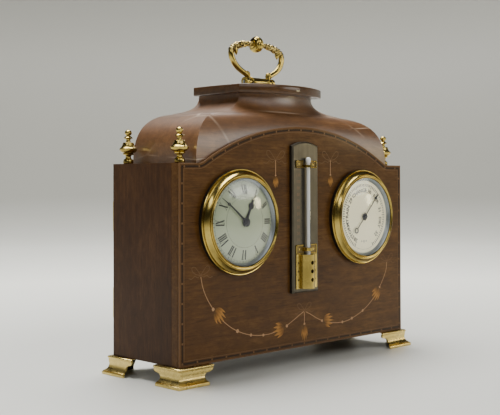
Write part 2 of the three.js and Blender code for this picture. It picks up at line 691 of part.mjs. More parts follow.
function makeFinials(group) {
  const heights = [0, 1.4, 3.5, 4.3, 5.2, 6.2, 7.4, 8.3, 11, 15.4, 16.2, 17.8, 18.9, 20];
  const foot = FINIAL_FOOT_RADIUS;
  const neck = FINIAL_NECK_RADIUS;
  const knop = FINIAL_KNOP_RADIUS;
  const body = FINIAL_BODY_RADIUS;
  const collar = FINIAL_COLLAR_RADIUS;
  const radii = [
    foot * 0.86, foot, foot, neck * 1.3, neck * 1.2, knop, neck * 1.6,
    knop * 0.85, body, knop, neck * 1.15, neck, collar, neck * 0.9,
  ];
  const scale = FINIAL_HEIGHT / 24.4;
  const ballMiddle = FINIAL_HEIGHT - FINIAL_BALL_RADIUS;
  const ball = [-0.2, 0.7].map((angle) => [
    FINIAL_BALL_RADIUS * Math.cos(angle),
    ballMiddle + FINIAL_BALL_RADIUS * Math.sin(angle),
  ]);
  const turned = [
    [0, -FINIAL_STUD_LENGTH],
    [FINIAL_STUD_RADIUS, -FINIAL_STUD_LENGTH],
    [FINIAL_STUD_RADIUS, 0],
    ...radii.map((radius, i) => [radius, heights[i] * scale]),
    ...ball,
    [0, FINIAL_HEIGHT],
  ].map(([radius, z]) => [radius, CASE_HEIGHT + z]);
  for (const [name, x, y] of finialPlaces) {
    piece(group, name, turnedZ(turned, x, y, FINIAL_STEPS), polishedBrass());
  }
}

// A bracket foot: an L-shaped casting whose face swells, steps in and flares out to a toe.
function footSolid() {
  const side = FOOT_SIDE_SHARE;
  const flangeLow = -FOOT_FLANGE_HEIGHT;
  const toeTop = -FOOT_HEIGHT + FOOT_TOE_HEIGHT;
  const waist = (flangeLow + toeTop) / 2;
  const levels = [
    [0, FOOT_TOP_PROJECTION, FOOT_FLANGE_LENGTH - 0.8],
    [-1.2, FOOT_TOP_PROJECTION + 0.5, FOOT_FLANGE_LENGTH - 0.3],
    [-2.4, FOOT_BULGE - 0.4, FOOT_FLANGE_LENGTH],
    [flangeLow + 0.8, FOOT_BULGE, FOOT_FLANGE_LENGTH],
    [flangeLow, FOOT_BULGE - 0.3, FOOT_FLANGE_LENGTH - 0.4],
    [flangeLow - 0.1, FOOT_BULGE - 1, FOOT_WAIST_LENGTH],
    [waist, FOOT_BULGE - 0.4, FOOT_WAIST_LENGTH + 0.6],
    [toeTop + 0.6, FOOT_TOE_PROJECTION - 1.5, FOOT_TOE_LENGTH - 2],
    [toeTop, FOOT_TOE_PROJECTION, FOOT_TOE_LENGTH],
    [-FOOT_HEIGHT, FOOT_TOE_PROJECTION, FOOT_TOE_LENGTH],
  ].reverse();
  const rings = levels.map(([z, out, length]) => ({
    z,
    points: [
      [-out, -out],
      [length, -out],
      [length, FOOT_WALL],
      [FOOT_WALL, FOOT_WALL],
      [FOOT_WALL, length * side],
      [-out, length * side],
    ],
  }));
  const web = block(0, FOOT_WAIST_LENGTH - 1, 0, (FOOT_WAIST_LENGTH - 1) * side, -FOOT_WEB_THICKNESS, 0);
  return join(loft(rings), web);
}

function makeFeet(group) {
  const foot = footSolid();
  const places = [
    ["foot_front_left", 0, -caseHalf, 0],
    ["foot_front_right", 1, caseHalf, 0],
    ["foot_back_left", 2, -caseHalf, CASE_DEPTH],
    ["foot_back_right", 3, caseHalf, CASE_DEPTH],
  ];
  for (const [name, corner, x, y] of places) {
    let placed = foot;
    if (corner % 2) placed = placed.mirror([1, 0, 0]);
    if (corner > 1) placed = placed.mirror([0, 1, 0]);
    piece(group, name, placed.translate([x, y, 0]), satinBrass());
  }
}

// Bezel, glass and drum, which the clock and the barometer share. Their axis is x = 0, z = 0.
const glassEdgeFront = BEZEL_HEIGHT - 2 * GLASS_FIT - BEZEL_RIM;
const bezelBore = GLASS_RADIUS + GLASS_FIT + 0.15;

function bezelSolid() {
  const recess = DRUM_FLANGE + GLASS_FIT;
  return turnedY([
    [BEZEL_RADIUS, 0],
    [BEZEL_RADIUS, -BEZEL_FLANGE],
    [BEZEL_RADIUS - 0.8, -BEZEL_FLANGE - 0.9],
    [BEZEL_RADIUS - 2.2, -BEZEL_STEP],
    [BEZEL_RADIUS - 3.2, -BEZEL_COVE],
    [BEZEL_OPENING + 3.4, -BEZEL_COVE - 2.2],
    [BEZEL_OPENING + 1.8, -BEZEL_HEIGHT + 0.3],
    [BEZEL_OPENING + 0.9, -BEZEL_HEIGHT],
    [BEZEL_OPENING, -glassEdgeFront - GLASS_FIT],
    [bezelBore, -glassEdgeFront - GLASS_FIT],
    [bezelBore, -recess],
    [DRUM_FLANGE_RADIUS + GLASS_FIT, -recess],
    [DRUM_FLANGE_RADIUS + GLASS_FIT, 0],
    [BEZEL_RADIUS, 0],
  ]);
}

function glassSolid() {
  const shoulder = BEZEL_OPENING - GLASS_FIT;
  const dome = (inset, depth, steps) => {
    const sphere = (shoulder ** 2 + GLASS_DOME ** 2) / (2 * GLASS_DOME);
    return Array.from({ length: steps + 1 }, (_, i) => {
      const radius = ((shoulder - inset) * i) / steps;
      return [radius, -glassEdgeFront - GLASS_DOME + depth + sphere - Math.sqrt(sphere ** 2 - radius ** 2)];
    });
  };
  const outer = dome(0, 0, 3);
  const inner = dome(0.4, GLASS_THICKNESS, 2).reverse();
  const rim = [[GLASS_RADIUS, -glassEdgeFront], [GLASS_RADIUS, -glassEdgeFront + GLASS_THICKNESS]];
  return turnedY([...outer, ...rim, ...inner]);
}

function drumSolid(depth) {
  const inner = DRUM_RADIUS - DRUM_WALL;
  return turnedY([
    [inner, -DRUM_FLANGE],
    [DRUM_FLANGE_RADIUS, -DRUM_FLANGE],
    [DRUM_FLANGE_RADIUS, 0],
    [DRUM_RADIUS, 0],
    [DRUM_RADIUS, depth],
    [0, depth],
    [0, depth - DRUM_WALL],
    [inner, depth - DRUM_WALL],
    [inner, -DRUM_FLANGE],
  ]);
}

function dialSolid(holeRadius, seat) {
  const shape = disc(GLASS_RADIUS - 0.05);
  shape.holes.push(roundHole(0, 0, holeRadius, 12));
  const back = DIAL_THICKNESS - DIAL_FRONT;
  const feet = [90, 210, 330].map((angle) => {
    const at = onCircle(DIAL_FOOT_CIRCLE, radians(angle));
    return rodY(DIAL_FOOT_RADIUS, back - DIAL_THICKNESS / 2, seat, at.x, at.y, 6);
  });
  return join(slabY(shape, -DIAL_FRONT, back), ...feet);
}

// Gears: pointed wheel teeth or flat-topped pinion leaves, the first at a chosen angle from +X towards +Z.
function gearOutline(teeth, module, firstAngle, flat = false) {
  const pitch = (teeth * module) / 2;
  const root = pitch - GEAR_DEDENDUM * module;
  const tip = pitch + GEAR_ADDENDUM * module;
  const points = [];
  for (let i = 0; i < teeth; i++) {
    const middle = firstAngle + (i * TURN) / teeth;
    const rootHalf = ((flat ? 0.21 : 0.28) * TURN) / teeth;
    const tipHalf = (0.07 * TURN) / teeth;
    points.push(onCircle(root, middle - rootHalf));
    if (flat) points.push(onCircle(tip, middle - tipHalf), onCircle(tip, middle + tipHalf));
    else points.push(onCircle(tip, middle));
    points.push(onCircle(root, middle + rootHalf));
  }
  return points;
}

// A wheel with round crossings between its hub and its rim.
function wheelSolid(teeth, module, firstAngle, front, thickness, at, boreRadius = 0, crossings = 4) {
  const shape = outline(gearOutline(teeth, module, firstAngle));
  if (boreRadius > 0) shape.holes.push(roundHole(0, 0, boreRadius, 12));
  const pitch = (teeth * module) / 2;
  const rimRadius = pitch - (GEAR_DEDENDUM + 1.6) * module;
  const hubRadius = Math.max(boreRadius, ARBOR_RADIUS) + 1.2;
  const crossing = (rimRadius - hubRadius) / 2;
  for (let i = 0; i < crossings; i++) {
    const middle = onCircle((rimRadius + hubRadius) / 2, (i * TURN) / crossings);
    shape.holes.push(roundHole(middle.x, middle.y, crossing * 0.9, 6));
  }
  return slabY(shape, front, front + thickness).translate([at.x, 0, at.y]);
}

function pinionSolid(leaves, module, firstAngle, front, thickness, at, boreRadius = 0) {
  const shape = outline(gearOutline(leaves, module, firstAngle, true));
  if (boreRadius > 0) shape.holes.push(roundHole(0, 0, boreRadius, 12));
  return slabY(shape, front, front + thickness).translate([at.x, 0, at.y]);
}

// Where the second of two meshed gears stands, and the angles of the teeth that meet.
function meshWith(at, teeth, module, leaves, angle, gap = 0) {
  const direction = radians(angle);
  const distance = ((teeth + leaves) * module) / 2 + gap;
  const next = onCircle(distance, direction).add(at);
  return { at: next, driver: direction, follower: direction + Math.PI + Math.PI / leaves };
}

const frontPlateBack = FRONT_PLATE_FRONT + PLATE_THICKNESS;
const backPlateFront = frontPlateBack + PLATE_SPACING;
const backPlateBack = backPlateFront + PLATE_THICKNESS;
const arborFront = FRONT_PLATE_FRONT + ARBOR_END;
const arborBack = backPlateBack - ARBOR_END;
const arbor = (at) => rodY(ARBOR_RADIUS, arborFront, arborBack, at.x, at.y, 8);

// Places in the going train, seen from the front with the centre arbor at the middle.
const middle = new THREE.Vector2(0, 0);
const barrelDistance = ((BARREL_TEETH + CENTRE_LEAVES) * BARREL_MODULE) / 2;
const barrelAt = onCircle(barrelDistance, radians(BARREL_ANGLE));
const thirdMesh = meshWith(middle, CENTRE_TEETH, CENTRE_MODULE, THIRD_LEAVES, THIRD_ANGLE);
const openMesh = 2 * GEAR_ADDENDUM * THIRD_MODULE + FOURTH_RUNNING_GAP;
const fourthMesh = meshWith(thirdMesh.at, THIRD_TEETH, THIRD_MODULE, FOURTH_LEAVES, FOURTH_ANGLE, openMesh);
const escapeMesh = meshWith(fourthMesh.at, FOURTH_TEETH, FOURTH_MODULE, ESCAPE_LEAVES, ESCAPE_ANGLE);
const leverAt = onCircle(LEVER_DISTANCE, radians(LEVER_ANGLE)).add(escapeMesh.at);
const balanceAt = new THREE.Vector2(BALANCE_X, BALANCE_Z);

function makePlates(group) {
  const radius = DRUM_RADIUS - DRUM_WALL - PLATE_FIT;
  const hole = ARBOR_RADIUS + ARBOR_FIT;
  const plate = (front, holes) => {
    const shape = disc(radius);
    holes.forEach(([at, r]) => shape.holes.push(roundHole(at.x, at.y, r)));
    return slabY(shape, front, front + PLATE_THICKNESS);
  };
  const arbors = [thirdMesh.at, fourthMesh.at, escapeMesh.at, leverAt, balanceAt].map((at) => [at, hole]);
  const centreHole = [middle, CENTRE_ARBOR_RADIUS + 1.2 * ARBOR_FIT];
  const windingHole = [barrelAt, WINDING_ARBOR_RADIUS + 1.2 * ARBOR_FIT];
  const pillars = PILLAR_ANGLES.map((angle) => {
    const at = onCircle(PILLAR_CIRCLE, radians(angle));
    return rodY(PILLAR_RADIUS, frontPlateBack - PLATE_THICKNESS / 2, backPlateFront, at.x, at.y, 8);
  });
  const studAt = onCircle(motionDistance, radians(MINUTE_WHEEL_ANGLE));
  const stud = rodY(ARBOR_RADIUS, -minuteStudReach, frontPlateBack - PLATE_THICKNESS / 2, studAt.x, studAt.y, 8);
  const front = join(plate(FRONT_PLATE_FRONT, [...arbors, centreHole, windingHole]), ...pillars, stud);
  piece(group, "movement_front_plate", front, movementBrass());
  piece(group, "movement_back_plate", plate(backPlateFront, [...arbors, centreHole, windingHole]), movementBrass());
}

function makeTrain(group) {
  // Barrel with its great wheel, turning freely on the winding arbor.
  const barrelBore = WINDING_ARBOR_RADIUS + ARBOR_FIT;
  const drumFront = BARREL_FRONT + GREAT_WHEEL_THICKNESS;
  const great = outline(gearOutline(BARREL_TEETH, BARREL_MODULE, radians(BARREL_ANGLE + 180)));
  great.holes.push(roundHole(0, 0, barrelBore, 12));
  const barrelWall = [
    [barrelBore, drumFront - 0.2],
    [BARREL_WALL_RADIUS, drumFront - 0.2],
    [BARREL_WALL_RADIUS, drumFront + BARREL_DEPTH],
    [barrelBore, drumFront + BARREL_DEPTH],
    [barrelBore, drumFront - 0.2],
  ];
  const barrel = join(slabY(great, BARREL_FRONT, drumFront), turnedY(barrelWall, 0, 0, 24));
  piece(group, "mainspring_barrel", barrel.translate([barrelAt.x, 0, barrelAt.y]), movementBrass());

  const keyFront = CLOCK_DRUM_DEPTH + KEY_STANDOFF;
  const keyBack = keyFront + KEY_LENGTH;
  const hub = rodY(KEY_HUB_RADIUS, keyFront, keyBack - 3, barrelAt.x, barrelAt.y, 12);
  const wing = block(
    barrelAt.x - KEY_WING_RADIUS,
    barrelAt.x + KEY_WING_RADIUS,
    keyFront + 3,
    keyBack,
    barrelAt.y - KEY_WING_THICKNESS / 2,
    barrelAt.y + KEY_WING_THICKNESS / 2,
  );
  const windingArbor = rodY(WINDING_ARBOR_RADIUS, arborFront, keyBack - 4, barrelAt.x, barrelAt.y, 10);
  piece(group, "winding_key", join(windingArbor, hub, wing), steel());

  // Centre arbor: its pinion is driven by the barrel, and its wheel drives the third pinion.
  const knobFront = CLOCK_DRUM_DEPTH + SET_KNOB_STANDOFF;
  const centre = join(
    rodY(CENTRE_ARBOR_RADIUS, -CANNON_TIP + 1, knobFront + SET_KNOB_THICKNESS / 2, 0, 0, 8),
    pinionSolid(CENTRE_LEAVES, BARREL_MODULE, radians(BARREL_ANGLE) + Math.PI / CENTRE_LEAVES,
      BARREL_FRONT - 0.5, PINION_THICKNESS, middle),
    wheelSolid(CENTRE_TEETH, CENTRE_MODULE, thirdMesh.driver, CENTRE_WHEEL_FRONT, WHEEL_THICKNESS, middle),
  );
  piece(group, "centre_wheel", centre, movementBrass());

  const third = join(
    arbor(thirdMesh.at),
    pinionSolid(THIRD_LEAVES, CENTRE_MODULE, thirdMesh.follower, CENTRE_WHEEL_FRONT - 0.7, PINION_THICKNESS, thirdMesh.at),
    wheelSolid(THIRD_TEETH, THIRD_MODULE, fourthMesh.driver, THIRD_WHEEL_FRONT, WHEEL_THICKNESS, thirdMesh.at),
  );
  piece(group, "third_wheel", third, movementBrass());

  const fourth = join(
    arbor(fourthMesh.at),
    pinionSolid(FOURTH_LEAVES, THIRD_MODULE, fourthMesh.follower, THIRD_WHEEL_FRONT - 0.7, PINION_THICKNESS, fourthMesh.at),
    wheelSolid(FOURTH_TEETH, FOURTH_MODULE, escapeMesh.driver, FOURTH_WHEEL_FRONT, WHEEL_THICKNESS, fourthMesh.at),
  );
  piece(group, "fourth_wheel", fourth, movementBrass());

  const teeth = [];
  for (let i = 0; i < ESCAPE_TEETH; i++) {
    const start = (i * TURN) / ESCAPE_TEETH;
    teeth.push(onCircle(ESCAPE_ROOT_RADIUS, start), onCircle(ESCAPE_RADIUS, start + 0.06));
    teeth.push(onCircle(ESCAPE_RADIUS, start + 0.14), onCircle(ESCAPE_ROOT_RADIUS, start + 0.26));
  }
  const escapeDisc = slabY(outline(teeth), ESCAPE_FRONT, ESCAPE_FRONT + LEVER_THICKNESS);
  const escape = join(
    arbor(escapeMesh.at),
    pinionSolid(ESCAPE_LEAVES, FOURTH_MODULE, escapeMesh.follower, FOURTH_WHEEL_FRONT - 0.7, PINION_THICKNESS, escapeMesh.at),
    escapeDisc.translate([escapeMesh.at.x, 0, escapeMesh.at.y]),
  );
  piece(group, "escape_wheel", escape, steel());
}

function makeEscapement(group) {
  // The lever: a crossbar beside the escape wheel, and a tail that ends just short of the balance staff.
  const acrossAngle = radians(LEVER_ANGLE) + Math.PI / 2;
  const across = onCircle(1, acrossAngle);
  const tailVector = balanceAt.clone().sub(leverAt);
  const tailLength = tailVector.length() - ARBOR_RADIUS - 0.9;
  const bar = (from, direction, length) => {
    const side = new THREE.Vector2(-direction.y, direction.x).multiplyScalar(LEVER_WIDTH / 2);
    const end = from.clone().addScaledVector(direction, length);
    const corners = [from.clone().add(side), end.clone().add(side), end.clone().sub(side), from.clone().sub(side)];
    return slabY(outline(corners), LEVER_FRONT, LEVER_FRONT + LEVER_THICKNESS);
  };
  const start = leverAt.clone().addScaledVector(across, -LEVER_HALF_SPAN);
  const lever = join(
    arbor(leverAt),
    bar(start, across, 2 * LEVER_HALF_SPAN),
    bar(leverAt, tailVector.clone().normalize(), tailLength),
  );
  piece(group, "pallet_lever", lever, steel());

  const rimInner = BALANCE_RADIUS - BALANCE_RIM;
  const back = BALANCE_FRONT + BALANCE_THICKNESS;
  const rim = turnedY(
    [[rimInner, BALANCE_FRONT], [BALANCE_RADIUS, BALANCE_FRONT], [BALANCE_RADIUS, back], [rimInner, back], [rimInner, BALANCE_FRONT]],
    balanceAt.x, balanceAt.y, 24,
  );
  const spoke = block(balanceAt.x - rimInner - 0.3, balanceAt.x + rimInner + 0.3, BALANCE_FRONT, back,
    balanceAt.y - 0.7, balanceAt.y + 0.7);
  piece(group, "balance_wheel", join(arbor(balanceAt), rim, spoke), movementBrass());
}

// Motion work: the cannon pinion, the minute wheel and the hour wheel, twelve to one.
const motionDistance = ((CANNON_TEETH + MINUTE_WHEEL_TEETH) * CANNON_MODULE) / 2;
const hourModule = (2 * motionDistance) / (MINUTE_LEAVES + HOUR_TEETH);
const hourWheelFront = HOUR_WHEEL_BACK - WHEEL_THICKNESS;
const minuteStudReach = -(hourWheelFront - 0.8);

// A hand drawn upwards from its boss, with the open ring of its pattern part of the way along.
function handSolid(length, bossRadius, boreRadius, ringAt, ringRadius, rootHalf, tipHalf, tail, front) {
  const shape = outline([[-rootHalf, -tail], [rootHalf, -tail], [tipHalf, length], [-tipHalf, length]]);
  const back = front + HAND_THICKNESS;
  const ring = disc(ringRadius, 12, 0, ringAt);
  ring.holes.push(roundHole(0, ringAt, ringRadius * 0.55));
  const body = join(slabY(shape, front, back), slabY(disc(bossRadius, 16), front, back));
  const opened = cut(body, rodY(ringRadius * 0.55, front - 1, back + 1, 0, ringAt, 8));
  return cut(join(opened, slabY(ring, front, back)), rodY(boreRadius, front - 1, back + 1, 0, 0, 12));
}

function makeMotionWork(group) {
  const angle = radians(MINUTE_WHEEL_ANGLE);
  const at = onCircle(motionDistance, angle);
  const cannonFront = MINUTE_WHEEL_FRONT - 0.3;
  const pipe = [
    [CANNON_BORE, -CANNON_TIP],
    [CANNON_RADIUS, -CANNON_TIP],
    [CANNON_RADIUS, FRONT_PLATE_FRONT - 0.5],
    [CANNON_BORE, FRONT_PLATE_FRONT - 0.5],
    [CANNON_BORE, -CANNON_TIP],
  ];
  const cannon = join(
    turnedY(pipe, 0, 0, 12),
    pinionSolid(CANNON_TEETH, CANNON_MODULE, angle, cannonFront, WHEEL_THICKNESS + 0.6, middle, CANNON_BORE),
  );
  piece(group, "cannon_pinion", cannon, steel());

  const bore = ARBOR_RADIUS + ARBOR_FIT;
  const minute = join(
    wheelSolid(MINUTE_WHEEL_TEETH, CANNON_MODULE, angle + Math.PI + Math.PI / MINUTE_WHEEL_TEETH,
      MINUTE_WHEEL_FRONT, WHEEL_THICKNESS, at, bore, 3),
    pinionSolid(MINUTE_LEAVES, hourModule, angle + Math.PI, hourWheelFront - 0.3,
      MINUTE_WHEEL_FRONT - hourWheelFront + 0.5, at, bore),
  );
  piece(group, "minute_wheel", minute, movementBrass());

  const hourPipe = [
    [HOUR_PIPE_BORE, -HOUR_PIPE_TIP],
    [HOUR_PIPE_RADIUS, -HOUR_PIPE_TIP],
    [HOUR_PIPE_RADIUS, HOUR_WHEEL_BACK],
    [HOUR_PIPE_BORE, HOUR_WHEEL_BACK],
    [HOUR_PIPE_BORE, -HOUR_PIPE_TIP],
  ];
  const hour = join(
    turnedY(hourPipe, 0, 0, 12),
    wheelSolid(HOUR_TEETH, hourModule, angle + Math.PI / HOUR_TEETH, hourWheelFront, WHEEL_THICKNESS,
      middle, HOUR_PIPE_BORE, 4),
  );
  piece(group, "hour_wheel", hour, movementBrass());

  const hourFront = -HOUR_PIPE_TIP + 0.2;
  const hourHand = handSolid(HOUR_HAND_LENGTH, 3.1, HOUR_PIPE_RADIUS + 0.2, HOUR_HAND_LENGTH * 0.72, 2.1, 0.75, 0.25, 0,
    hourFront);
  piece(group, "hour_hand", hourHand, blackenedSteel()).rotation.y = radians(HOUR_HAND_ANGLE);
  const minuteFront = hourFront - HAND_GAP - HAND_THICKNESS;
  const minuteHand = handSolid(MINUTE_HAND_LENGTH, 2.3, CANNON_RADIUS + 0.15, MINUTE_HAND_LENGTH * 0.75, 1.5, 0.65, 0.2, 5,
    minuteFront);
  piece(group, "minute_hand", minuteHand, blackenedSteel()).rotation.y = radians(MINUTE_HAND_ANGLE);

  const knobFront = CLOCK_DRUM_DEPTH + SET_KNOB_STANDOFF;
  const knob = rodY(SET_KNOB_RADIUS, knobFront, knobFront + SET_KNOB_THICKNESS, 0, 0, 16);
  const socket = rodY(CENTRE_ARBOR_RADIUS + 0.2, knobFront - 1, knobFront + SET_KNOB_THICKNESS / 2 + 0.3, 0, 0, 8);
  piece(group, "hand_setting_knob", cut(knob, socket), polishedBrass());
}

function makeClock(group) {
  piece(group, "clock_bezel", bezelSolid(), polishedBrass());
  piece(group, "clock_glass", glassSolid(), glass());
  piece(group, "clock_dial", dialSolid(HOUR_PIPE_RADIUS + 0.4, FRONT_PLATE_FRONT), enamel());
  const openings = [
    rodY(CENTRE_ARBOR_RADIUS + ARBOR_FIT, CLOCK_DRUM_DEPTH - 3, CLOCK_DRUM_DEPTH + 1, 0, 0, 8),
    rodY(WINDING_ARBOR_RADIUS + ARBOR_FIT, CLOCK_DRUM_DEPTH - 3, CLOCK_DRUM_DEPTH + 1, barrelAt.x, barrelAt.y, 12),
  ];
  piece(group, "clock_drum", cut(drumSolid(CLOCK_DRUM_DEPTH), ...openings), satinBrass());
  makePlates(group);
  makeTrain(group);
  makeEscapement(group);
  makeMotionWork(group);
}

// Barometer: the capsule presses the leaf spring, and a toothed sector turns the pointer's pinion.
const basePlateFront = PAN_DEPTH - DRUM_WALL - BASE_PLATE_THICKNESS;
const capsuleFront = basePlateFront - CAPSULE_DEPTH;
const sectorPivotX = -((SECTOR_TEETH + SECTOR_LEAVES) * SECTOR_MODULE) / 2;

// The bridge across the works: a strip on two posts, with the pin the sector turns on.
function bridgeParts() {
  const back = BRIDGE_FRONT + BRIDGE_THICKNESS;
  const end = BRIDGE_HALF_SPAN + BRIDGE_POST_RADIUS;
  const edge = BRIDGE_WIDTH / 2;
  const strip = outline([[-end, -edge], [end, -edge], [end, edge], [-end, edge]]);
  strip.holes.push(roundHole(0, 0, ARBOR_RADIUS + ARBOR_FIT));
  const postFoot = basePlateFront + BASE_PLATE_THICKNESS / 2;
  const posts = [-1, 1].map((side) =>
    rodY(BRIDGE_POST_RADIUS, BRIDGE_FRONT + BRIDGE_THICKNESS / 2, postFoot, side * BRIDGE_HALF_SPAN, 0, 10),
  );
  const pin = rodY(ARBOR_RADIUS, SECTOR_FRONT - 0.6, back - BRIDGE_THICKNESS / 2, sectorPivotX, 0, 8);
  return [slabY(strip, BRIDGE_FRONT, back), ...posts, pin];
}

function makeBarometer(group) {
  piece(group, "barometer_bezel", bezelSolid(), polishedBrass());
  piece(group, "barometer_glass", glassSolid(), glass());
  piece(group, "barometer_dial", dialSolid(ARBOR_RADIUS + 2 * ARBOR_FIT, basePlateFront), silvered());
  const screwHole = () => rodY(SCREW_SHANK_RADIUS + SCREW_HOLE_FIT, basePlateFront - 1, PAN_DEPTH + 1, 0, -SCREW_DROP, 10);
  piece(group, "barometer_pan", cut(drumSolid(PAN_DEPTH), screwHole()), satinBrass());
  const plate = slabY(disc(DRUM_RADIUS - DRUM_WALL - PLATE_FIT), basePlateFront, basePlateFront + BASE_PLATE_THICKNESS);
  const frame = join(cut(plate, screwHole()), ...bridgeParts());
  piece(group, "barometer_frame", frame, movementBrass());

  const ridge = CAPSULE_DEPTH / 7;
  const capsule = [
    [0, basePlateFront],
    [CAPSULE_RADIUS * 0.5, basePlateFront],
    [CAPSULE_RADIUS * 0.8, basePlateFront - ridge],
    [CAPSULE_RADIUS, basePlateFront - 2 * ridge],
    [CAPSULE_RADIUS, basePlateFront - 3.4 * ridge],
    [CAPSULE_RADIUS * 0.86, basePlateFront - 4.4 * ridge],
    [CAPSULE_RADIUS * 0.7, basePlateFront - 3.6 * ridge],
    [CAPSULE_RADIUS * 0.54, basePlateFront - 4.4 * ridge],
    [CAPSULE_RADIUS * 0.38, basePlateFront - 3.6 * ridge],
    [CAPSULE_BOSS_RADIUS, basePlateFront - 4.4 * ridge],
    [CAPSULE_BOSS_RADIUS, capsuleFront],
    [0, capsuleFront],
  ];
  piece(group, "aneroid_capsule", turnedY(capsule, 0, 0, 20), silvered());

  const leaf = outline([
    [capsuleFront - SPRING_GAP, CAPSULE_BOSS_RADIUS],
    [capsuleFront - SPRING_GAP - SPRING_THICKNESS, CAPSULE_BOSS_RADIUS],
    [capsuleFront - SPRING_GAP - SPRING_THICKNESS, 1.5 - SPRING_FOOT],
    [capsuleFront + 1.5, -SPRING_FOOT - SPRING_THICKNESS],
    [basePlateFront, -SPRING_FOOT - SPRING_THICKNESS],
    [basePlateFront, -SPRING_FOOT],
    [capsuleFront + 2, -SPRING_FOOT],
    [capsuleFront - SPRING_GAP, 2.2 - SPRING_FOOT],
  ]);
  piece(group, "barometer_leaf_spring", slabX(leaf, -SPRING_WIDTH / 2, SPRING_WIDTH / 2), steel());

  makeSector(group);
  makePointer(group);
  const shankFront = basePlateFront + BASE_PLATE_THICKNESS / 4;
  const screw = join(
    rodY(SCREW_SHANK_RADIUS, shankFront, PAN_DEPTH + SCREW_HEAD / 2, 0, -SCREW_DROP, 8),
    cut(
      rodY(SCREW_HEAD_RADIUS, PAN_DEPTH + 0.2, PAN_DEPTH + SCREW_HEAD, 0, -SCREW_DROP, 16),
      block(-SCREW_HEAD_RADIUS, SCREW_HEAD_RADIUS, PAN_DEPTH + SCREW_HEAD * 0.6, PAN_DEPTH + SCREW_HEAD + 1,
        -SCREW_DROP - 0.4, -SCREW_DROP + 0.4),
    ),
  );
  piece(group, "adjusting_screw", screw, steel());
}

// The sector is a slice of a large gear, turning on the bridge's pin.
function makeSector(group) {
  const pitch = (SECTOR_TEETH * SECTOR_MODULE) / 2;
  const step = TURN / SECTOR_TEETH;
  const centreAngle = radians(SECTOR_MIDDLE_ANGLE);
  const firstTooth = Math.round(centreAngle / step) - SECTOR_HALF_COUNT;
  const root = pitch - GEAR_DEDENDUM * SECTOR_MODULE;
  const tip = pitch + GEAR_ADDENDUM * SECTOR_MODULE;
  const rim = [];
  for (let i = 0; i <= 2 * SECTOR_HALF_COUNT; i++) {
    const at = (firstTooth + i) * step;
    rim.push(onCircle(root, at - 0.22 * step), onCircle(tip, at - 0.08 * step));
    rim.push(onCircle(tip, at + 0.08 * step), onCircle(root, at + 0.22 * step));
  }
  const blade = outline([onCircle(2.4, centreAngle - 1.4), ...rim, onCircle(2.4, centreAngle + 1.4)]);
  const hub = disc(2.6, 14);
  const back = SECTOR_FRONT + WHEEL_THICKNESS;
  const body = join(slabY(blade, SECTOR_FRONT, back), slabY(hub, SECTOR_FRONT, back));
  const bore = rodY(ARBOR_RADIUS + ARBOR_FIT, SECTOR_FRONT - 1, back + 1, 0, 0, 10);
  piece(group, "toothed_sector", cut(body, bore).translate([sectorPivotX, 0, 0]), movementBrass());
}

function makePointer(group) {
  const arborTip = POINTER_FRONT + HAND_THICKNESS + 0.7;
  const pointerArbor = join(
    rodY(ARBOR_RADIUS, -arborTip, BRIDGE_FRONT + BRIDGE_THICKNESS - 0.2, 0, 0, 8),
    pinionSolid(SECTOR_LEAVES, SECTOR_MODULE, Math.PI + Math.PI / SECTOR_LEAVES, SECTOR_FRONT - 0.5,
      WHEEL_THICKNESS + 1, middle),
  );
  piece(group, "pointer_arbor", pointerArbor, steel());
  const front = -POINTER_FRONT - HAND_THICKNESS;
  const back = front + HAND_THICKNESS;
  const needle = outline([
    [-0.35, POINTER_RING_RADIUS - POINTER_TAIL - 0.2],
    [0.35, POINTER_RING_RADIUS - POINTER_TAIL - 0.2],
    [0.45, POINTER_LENGTH - 6],
    [1.3, POINTER_LENGTH - 5],
    [0.15, POINTER_LENGTH],
    [-0.15, POINTER_LENGTH],
    [-1.3, POINTER_LENGTH - 5],
    [-0.45, POINTER_LENGTH - 6],
  ]);
  const tailRing = disc(POINTER_RING_RADIUS, 12, 0, -POINTER_TAIL);
  tailRing.holes.push(roundHole(0, -POINTER_TAIL, POINTER_RING_RADIUS * 0.6));
  const boss = slabY(disc(POINTER_BOSS_RADIUS, 12), front, back);
  const needleBody = join(slabY(needle, front, back), boss, slabY(tailRing, front, back));
  const bore = rodY(ARBOR_RADIUS + 0.2, front - 1, back + 1, 0, 0, 8);
  piece(group, "barometer_pointer", cut(needleBody, bore), blackenedSteel()).rotation.y = radians(POINTER_ANGLE);
}

